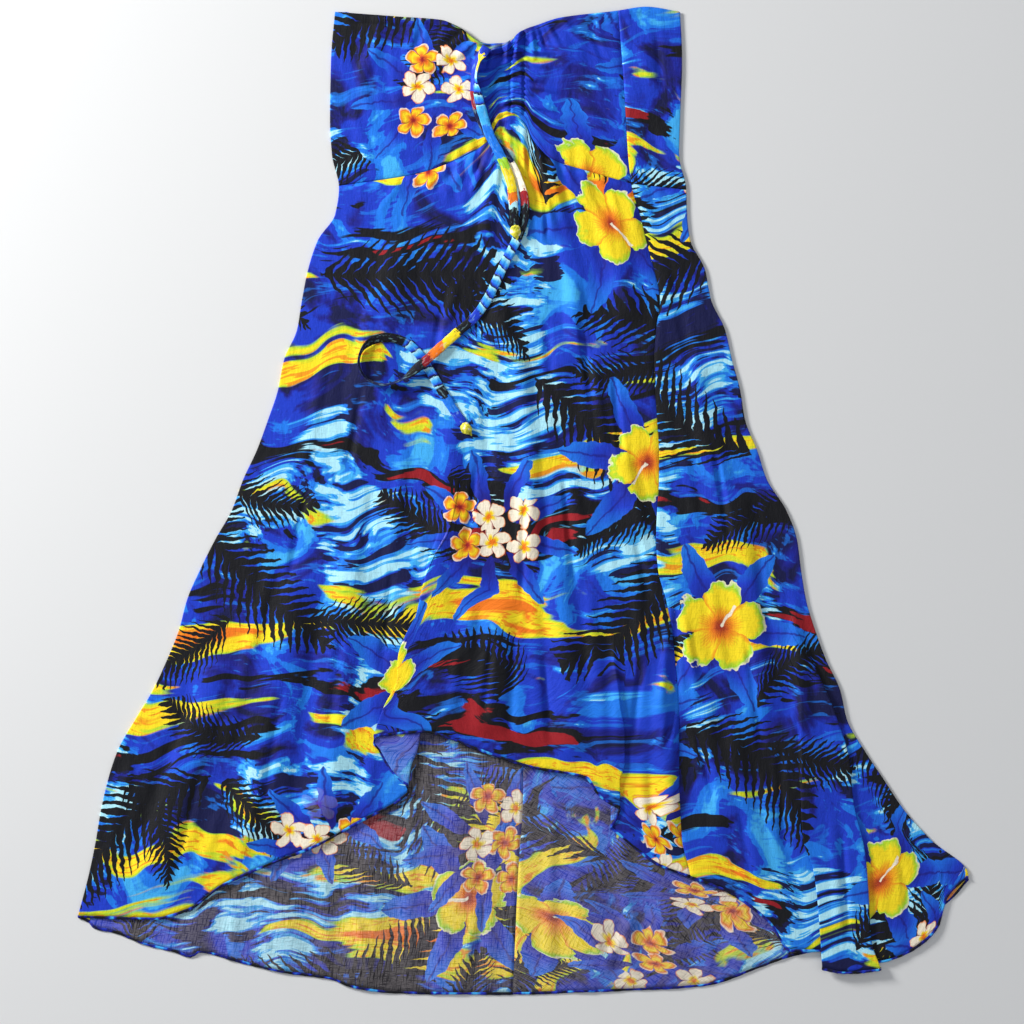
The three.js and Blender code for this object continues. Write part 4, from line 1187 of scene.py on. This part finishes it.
def ground(g, p):
    """Blue ground, smooth in places and brushed in others, with washes of lime, yellow and orange."""
    # Broad areas, brush strokes that lean with them, and the bristles' fine marks in the strokes
    broad = g.noise(p, 0.0072, 2.0)
    zone = g.noise(p, 0.0066, 1.0)
    lean = g.join(broad * 40, broad * 95)
    flow = g.vector("ADD", g.stretched(p, 0.17, 1.0), lean)
    strokes = g.noise(flow, 0.078, 3.0, 0.55)
    fine = g.noise(flow, 0.26, 2.0, 0.6)
    washes = g.noise(flow, 0.019, 3.0, 0.5)
    clouds = g.noise(p, 0.016, 4.0, 0.55, 0.6)
    # Blues in broad areas, then pale crests and dark troughs of the strokes, fewer where it's calm
    shade = broad * 0.3 + clouds * 0.7 + (fine - 0.5) * 0.04
    base = g.ramp(
        shade, (0.38, NAVY), (0.43, COBALT), (0.48, ROYAL), (0.545, ROYAL), (0.562, AZURE),
        (0.60, AZURE), (0.63, SKY))
    base = g.paint(base, (strokes + (fine - 0.5) * 0.4).rises(0.57, 0.66) * 0.6, AZURE)
    calm = 0.22 - zone.rises(0.515, 0.60) * 0.22
    crests = strokes - calm
    base = g.paint(base, crests.rises(0.45, 0.49), AZURE)
    base = g.paint(base, (crests + (fine - 0.5) * 0.2).rises(0.50, 0.53), SKY)
    base = g.paint(base, (crests + (fine - 0.5) * 0.35).rises(0.555, 0.585), FOAM)
    base = g.paint(base, (strokes + calm + (fine - 0.5) * 0.3).rises(0.445, 0.42), NAVY)
    base = g.paint(base, (strokes * 0.3 + washes * 0.7).rises(0.415, 0.40), BLACK)
    # Warm washes, and crimson ones where the washes are lowest
    warm = g.ramp(
        washes + (fine - 0.5) * 0.08, (0.60, LIME), (0.645, YELLOW), (0.70, YELLOW), (0.74, ORANGE))
    warm = g.paint(warm, (fine + (strokes - 0.5) * 0.4).rises(0.56, 0.64) * 0.75, ORANGE)
    base = g.paint(base, (washes + (fine - 0.5) * 0.03).rises(0.592, 0.616), warm)
    return g.paint(base, (washes + (fine - 0.5) * 0.05).rises(0.312, 0.302), RED)


def chosen(chance, left_out):
    """1 in the cells that hold a motif, where such a share of the cells is left out."""
    return chance.rises(left_out, left_out + 0.01)


def leaf(g, along, across, start, end, width):
    """A pointed leaf's mask and its colour, darker towards its stem and along its midrib."""
    t = (along - (start + end) / 2) / ((end - start) / 2)
    half = ((1 - t * t).at_least(0) ** 0.75) * width
    side = abs(across)
    shades = g.ramp(t * 0.5 + 0.5 + side * 0.012, (0.25, COBALT), (0.55, ROYAL), (0.95, AZURE))
    shades = g.paint(shades, side.rises(1.6, 0.4) * 0.8, COBALT)
    return inside(half - side - EDGE_SOFTNESS), shades


def blooms(g, p, base, ruffle):
    """Large yellow blooms with five ruffled petals, on a fan of blue leaves."""
    cell = g.cells(p, BLOOM.pitch, 0.62, (0.31, 0.74))
    shown = chosen(cell.second, BLOOM.left_out)
    arc = (cell.angle * (BLOOM.leaves / TAU) + 0.5).fraction() - 0.5
    aside = cell.radius * arc * (TAU / BLOOM.leaves)
    leaf_mask, shades = leaf(g, cell.radius, aside, *BLOOM.leaf)
    base = g.paint(base, leaf_mask * shown, shades)
    size = cell.third * BLOOM.range + BLOOM.least
    sector = (cell.angle * (BLOOM.petals / TAU) + cell.radius * 0.0022).fraction() - 0.5
    side = abs(sector) * 2
    edge = size * (1 - side ** 3 * 0.36 + (ruffle - 0.5) * 0.34)
    t = cell.radius / edge
    veins = (sector * 58).sine() * (1 - t) * 0.09
    petals = g.ramp(
        t + veins + side ** 4 * -0.12, (0.05, RED), (0.20, ORANGE), (0.52, YELLOW), (0.80, YELLOW),
        (0.93, LIME), (1.0, CREAM))
    petals = g.paint(petals, sector.rises(0.36, 0.5) * 0.75, ORANGE)
    base = g.paint(base, inside(edge - cell.radius) * shown, petals)
    stamen = inside(1.4 - abs(cell.y)) * cell.x.rises(0, 1) * cell.x.rises(27, 26)
    return g.paint(base, stamen * shown, CREAM)


def fronds(g, p, base, size, shift):
    """Black fern fronds, each a curved rib with narrow leaflets."""
    cell = g.cells(p, size, 0.85, shift)
    shown = chosen(cell.second, FROND.left_out)
    across = cell.y - cell.x * cell.x * (cell.third - 0.5) * (1.7 / size)
    side = abs(across)
    t = cell.x / (size * FROND.half_length)
    half = ((1 - t * t).at_least(0) ** 0.6) * (size * FROND.half_width)
    leaflet = (cell.x - side * FROND.sweep) / (size * FROND.leaflet)
    leaflet = abs(leaflet.fraction() - 0.5) * 2
    reach = 1 - side / half.at_least(0.1)
    mask = (reach * 0.95 - leaflet + 0.12).rises(-0.06, 0.06) * inside(half - side)
    rib = inside(1.2 - side) * inside(size * 0.56 - abs(cell.x))
    return g.paint(base, mask.at_least(rib) * shown, BLACK)


def clusters(g, p, base, ruffle):
    """Bunches of small orange and white flowers on pointed blue leaves."""
    bunch_places = (BUNCH.pitch, 0.7, (0.05, 0.37))
    bunch = g.cells(p, *bunch_places)
    arc = (bunch.angle * (BUNCH.leaves / TAU)).fraction() - 0.5
    aside = bunch.radius * arc * (TAU / BUNCH.leaves)
    leaf_mask, shades = leaf(g, bunch.radius, aside, *BUNCH.leaf)
    base = g.paint(base, leaf_mask * chosen(bunch.second, BUNCH.left_out), shades)
    flower = g.cells(p, BUNCH.flower_pitch, 0.5, (0.5, 0.2))
    owner = g.cells(flower.middle, *bunch_places)
    shown = owner.radius.rises(BUNCH.radius, BUNCH.radius - 1)
    shown = shown * chosen(owner.second, BUNCH.left_out)
    sector = (flower.angle * (BUNCH.petals / TAU) + flower.radius * 0.02).fraction()
    petal = (sector * math.pi).sine().at_least(0) ** 0.6
    edge = petal * 9.5 + 8.5 + (ruffle - 0.5) * 5
    t = flower.radius / edge
    warm = g.ramp(t, (0.10, RED), (0.30, ORANGE), (0.62, YELLOW), (0.85, ORANGE), (1.0, CREAM))
    pale = g.ramp(t, (0.12, ORANGE), (0.28, YELLOW), (0.44, CREAM), (0.9, CREAM), (1.0, ORANGE))
    petals = g.paint(warm, flower.third.rises(0.49, 0.51), pale)
    petals = g.paint(petals, sector.rises(0.80, 0.98) * 0.8, RED)
    return g.paint(base, inside(edge - flower.radius) * shown, petals)


def printed_cloth(name, wrong_side):
    """Thin soft cloth with the print, full on its right side and paler on its wrong side."""
    g = Graph(name)
    p = g.print_place()
    ruffle = g.noise(p, 0.085, 2.0)
    wander = g.join(ruffle * 7, g.noise(p, 0.07, 2.0) * 7)
    drawn = g.vector("ADD", p, wander)
    base = ground(g, p)
    base = fronds(g, drawn, base, 112, (0.62, 0.18))
    base = fronds(g, drawn, base, 175, (0.11, 0.52))
    base = blooms(g, drawn, base, ruffle)
    base = clusters(g, drawn, base, ruffle)
    x, y = g.split(p)
    weave = (x * (TAU / THREAD)).sine() * (y * (TAU / THREAD)).sine()
    weft = g.noise(g.stretched(p, 0.07, 0.85), 1.0, 2.0, 0.7)
    warp = g.noise(g.stretched(p, 0.75, 0.06), 1.0, 2.0, 0.7)
    slubs = weft.at_least(warp)
    base = g.paint(base, slubs.rises(0.52, 0.78) * 0.16, BLACK)
    if wrong_side:
        pale = g.paint(colour("ccc2c4"), slubs.rises(0.50, 0.66), colour("504a50"))
        base = g.paint(base, weft.rises(0.2, 0.9) * 0.24 + 0.12, pale)
    crinkle = g.noise(g.stretched(p, 1.0, 0.45), 0.22, 3.0, 0.6)
    relief = crinkle + weave * 0.04 + slubs * 0.35
    return g.cloth(base, 0.85 if wrong_side else 0.68, relief, 0.7, 0.8)


def plain_cloth(name, scale, *stops):
    """The hem, the knots and the thread: small pieces, in patches of a few colours."""
    g = Graph(name)
    place = g.vector("MULTIPLY", g.node("TexCoord").outputs["Object"], (1 / MM, 1 / MM, 1 / MM))
    base = g.ramp(g.noise(place, scale, 2.0, 0.6), *stops)
    return g.cloth(base, 0.7, g.noise(place, 0.8, 2.0), 0.3, 0.5)


def tie_cloth(name, striped, *blocks):
    """The ties' cloth: a narrow cut of the print, in blocks of colour that start so far along it."""
    g = Graph(name)
    p = g.print_place()
    along, across = g.split(p)
    blots = g.noise(p, 0.16, 3.0, 0.6) - 0.5
    whole = blocks[-1][0] + 60
    place = (along + blots * 16 + across * 0.3) / whole
    base = g.ramp(place, *[(start / whole, block) for start, block in blocks])
    base.node.color_ramp.interpolation = "CONSTANT"
    band = ((along + blots * 6 + across * 0.35) / TIE_BAND).fraction()
    bands = g.ramp(
        band, (0.0, FOAM), (0.28, SKY), (0.56, AZURE), (0.74, ROYAL), (0.82, NAVY), (0.93, NAVY),
        (0.96, FOAM))
    for first, last in striped:
        base = g.paint(base, along.rises(first - 1, first + 1) * along.rises(last + 1, last - 1), bands)
    brushed = g.noise(g.stretched(p, 0.12, 0.5), 1.0, 2.0, 0.6)
    base = g.paint(base, brushed.rises(0.56, 0.70) * 0.22, FOAM)
    base = g.paint(base, brushed.rises(0.42, 0.34) * 0.3, NAVY)
    return g.cloth(base, 0.66, g.noise(p, 0.3, 3.0, 0.6), 0.5, 0.7)


def make_camera():
    """Straight above the dress, with its picture as wide as the photo."""
    data = bpy.data.cameras.new("camera")
    data.sensor_width = SENSOR
    data.lens = SENSOR * CAMERA_HEIGHT / PHOTO_WIDTH
    data.clip_end = 20
    camera = bpy.data.objects.new("camera", data)
    camera.location = (*VIEW_CENTRE, CAMERA_HEIGHT)
    bpy.context.scene.collection.objects.link(camera)
    bpy.context.scene.camera = camera


def make_ties():
    """The ties come out of the channel together, on edge at first, the short one on top."""
    short_twist = [(0, 0.0), (7, 0.15), (17, 1.32), (34, 1.32), (52, 0.3), (70, 0.05), (200, 0)]
    tie_piece("tie_short", SHORT_TIE, [(0, 1), (140, 1), (200, 1)], short_twist,
              short_tie_material)
    long_rises = [(0, 0), (322, 0), (342, 0.6), (356, 1), (380, 1), (396, 0.5), (418, 0), (610, 0)]
    long_twist = [
        (0, 0.3), (30, 0.7), (60, 0.1), (120, 0.1), (150, 0.5), (180, 0.1), (354, 0.05), (374, 0.3),
        (392, 1.25), (452, 1.3), (474, 0.4), (492, 0.1), (610, 0)]
    tie_piece("tie_long", LONG_TIE, long_rises, long_twist, long_tie_material)


def area_light(name, place, size, power):
    """A square light, aimed at the middle of the dress."""
    data = bpy.data.lights.new(name, "AREA")
    data.size = size
    data.energy = power
    light = bpy.data.objects.new(name, data)
    light.location = place
    light.rotation_euler = (Vector() - Vector(place)).to_track_quat("-Z", "Y").to_euler()
    bpy.context.scene.collection.objects.link(light)


def make_stage():
    """A plain pale floor, a low key light from the upper left, and soft light from above."""
    bm = bmesh.new()
    bmesh.ops.create_grid(bm, x_segments=1, y_segments=1, size=4)
    mesh = smooth_mesh("floor", bm)
    g = Graph("floor")
    g.shader.inputs["Base Color"].default_value = (0.74, 0.74, 0.73, 1)
    g.shader.inputs["Roughness"].default_value = 0.9
    mesh.materials.append(g.material)
    floor = bpy.data.objects.new("floor", mesh)
    bpy.context.scene.collection.objects.link(floor)
    area_light("key", (-2.4, 1.5, 1.15), 0.7, 135)
    area_light("fill", (2.2, -0.6, 2.0), 1.8, 8)
    area_light("top", (0, 0, 3.4), 2.0, 16)
    world = bpy.data.worlds.new("world")
    world.use_nodes = True
    sky = world.node_tree.nodes["Background"]
    sky.inputs["Color"].default_value = (0.85, 0.9, 1.0, 1)
    sky.inputs["Strength"].default_value = 0.26
    bpy.context.scene.world = world
    bpy.context.scene.view_settings.view_transform = "Standard"


make_camera()

knot_cloth = plain_cloth(
    "knot cloth", 0.2, (0.38, colour("a8a82e")), (0.46, colour("e2d838")), (0.58, colour("eee54e")),
    (0.64, CREAM))
short_tie_material = tie_cloth(
    "short tie cloth", [(34, 62)], (0, ROYAL), (10, YELLOW), (25, FOAM), (48, SKY), (82, AZURE),
    (120, LIME), (130, YELLOW), (157, ORANGE), (165, FOAM), (173, BLACK))
long_tie_material = tie_cloth(
    "long tie cloth", [(206, 288), (508, 566)], (0, ROYAL), (46, RED), (62, NAVY), (124, CREAM),
    (158, RED), (172, BLACK), (288, ROYAL), (302, BLACK), (320, YELLOW), (338, ORANGE),
    (356, RED), (366, BLACK), (388, NAVY), (466, BLACK), (566, BLACK), (578, AZURE), (596, ROYAL))
make_ties()

right_side = printed_cloth("printed cloth, right side", False)
wrong_side = printed_cloth("printed cloth, wrong side", True)
hem_cloth = plain_cloth(
    "hem cloth", 0.07, (0.38, BLACK), (0.46, NAVY), (0.53, COBALT), (0.60, ROYAL), (0.68, SKY))
dark_thread = plain_cloth("dark thread", 0.5, (0.4, BLACK), (0.7, NAVY))


def make_panel(name, spans):
    """A panel with its hem or its stitches."""
    is_skirt = name.startswith("skirt")
    piece, edge, normals = cloth_panel(name, spans, SKIRT_ROWS if is_skirt else BODICE_ROWS)
    extras = [tack_piece("bodice_front_tack")] if name == "bodice_front" else []
    if is_skirt:
        extras.append(hem_piece(name + "_hem", edge, normals))


skirt_left, skirt_top = skirt_front_spans()
make_panel("bodice_back", bodice_back_spans())
make_panel("bodice_front", bodice_front_spans(skirt_left, skirt_top))
make_panel("skirt_back_left", skirt_back_left_spans())
make_panel("skirt_back_right", skirt_back_right_spans())
make_panel("skirt_front", [*left_edge_spans(skirt_left, STRIP_DROP), *skirt_top])
make_stage()
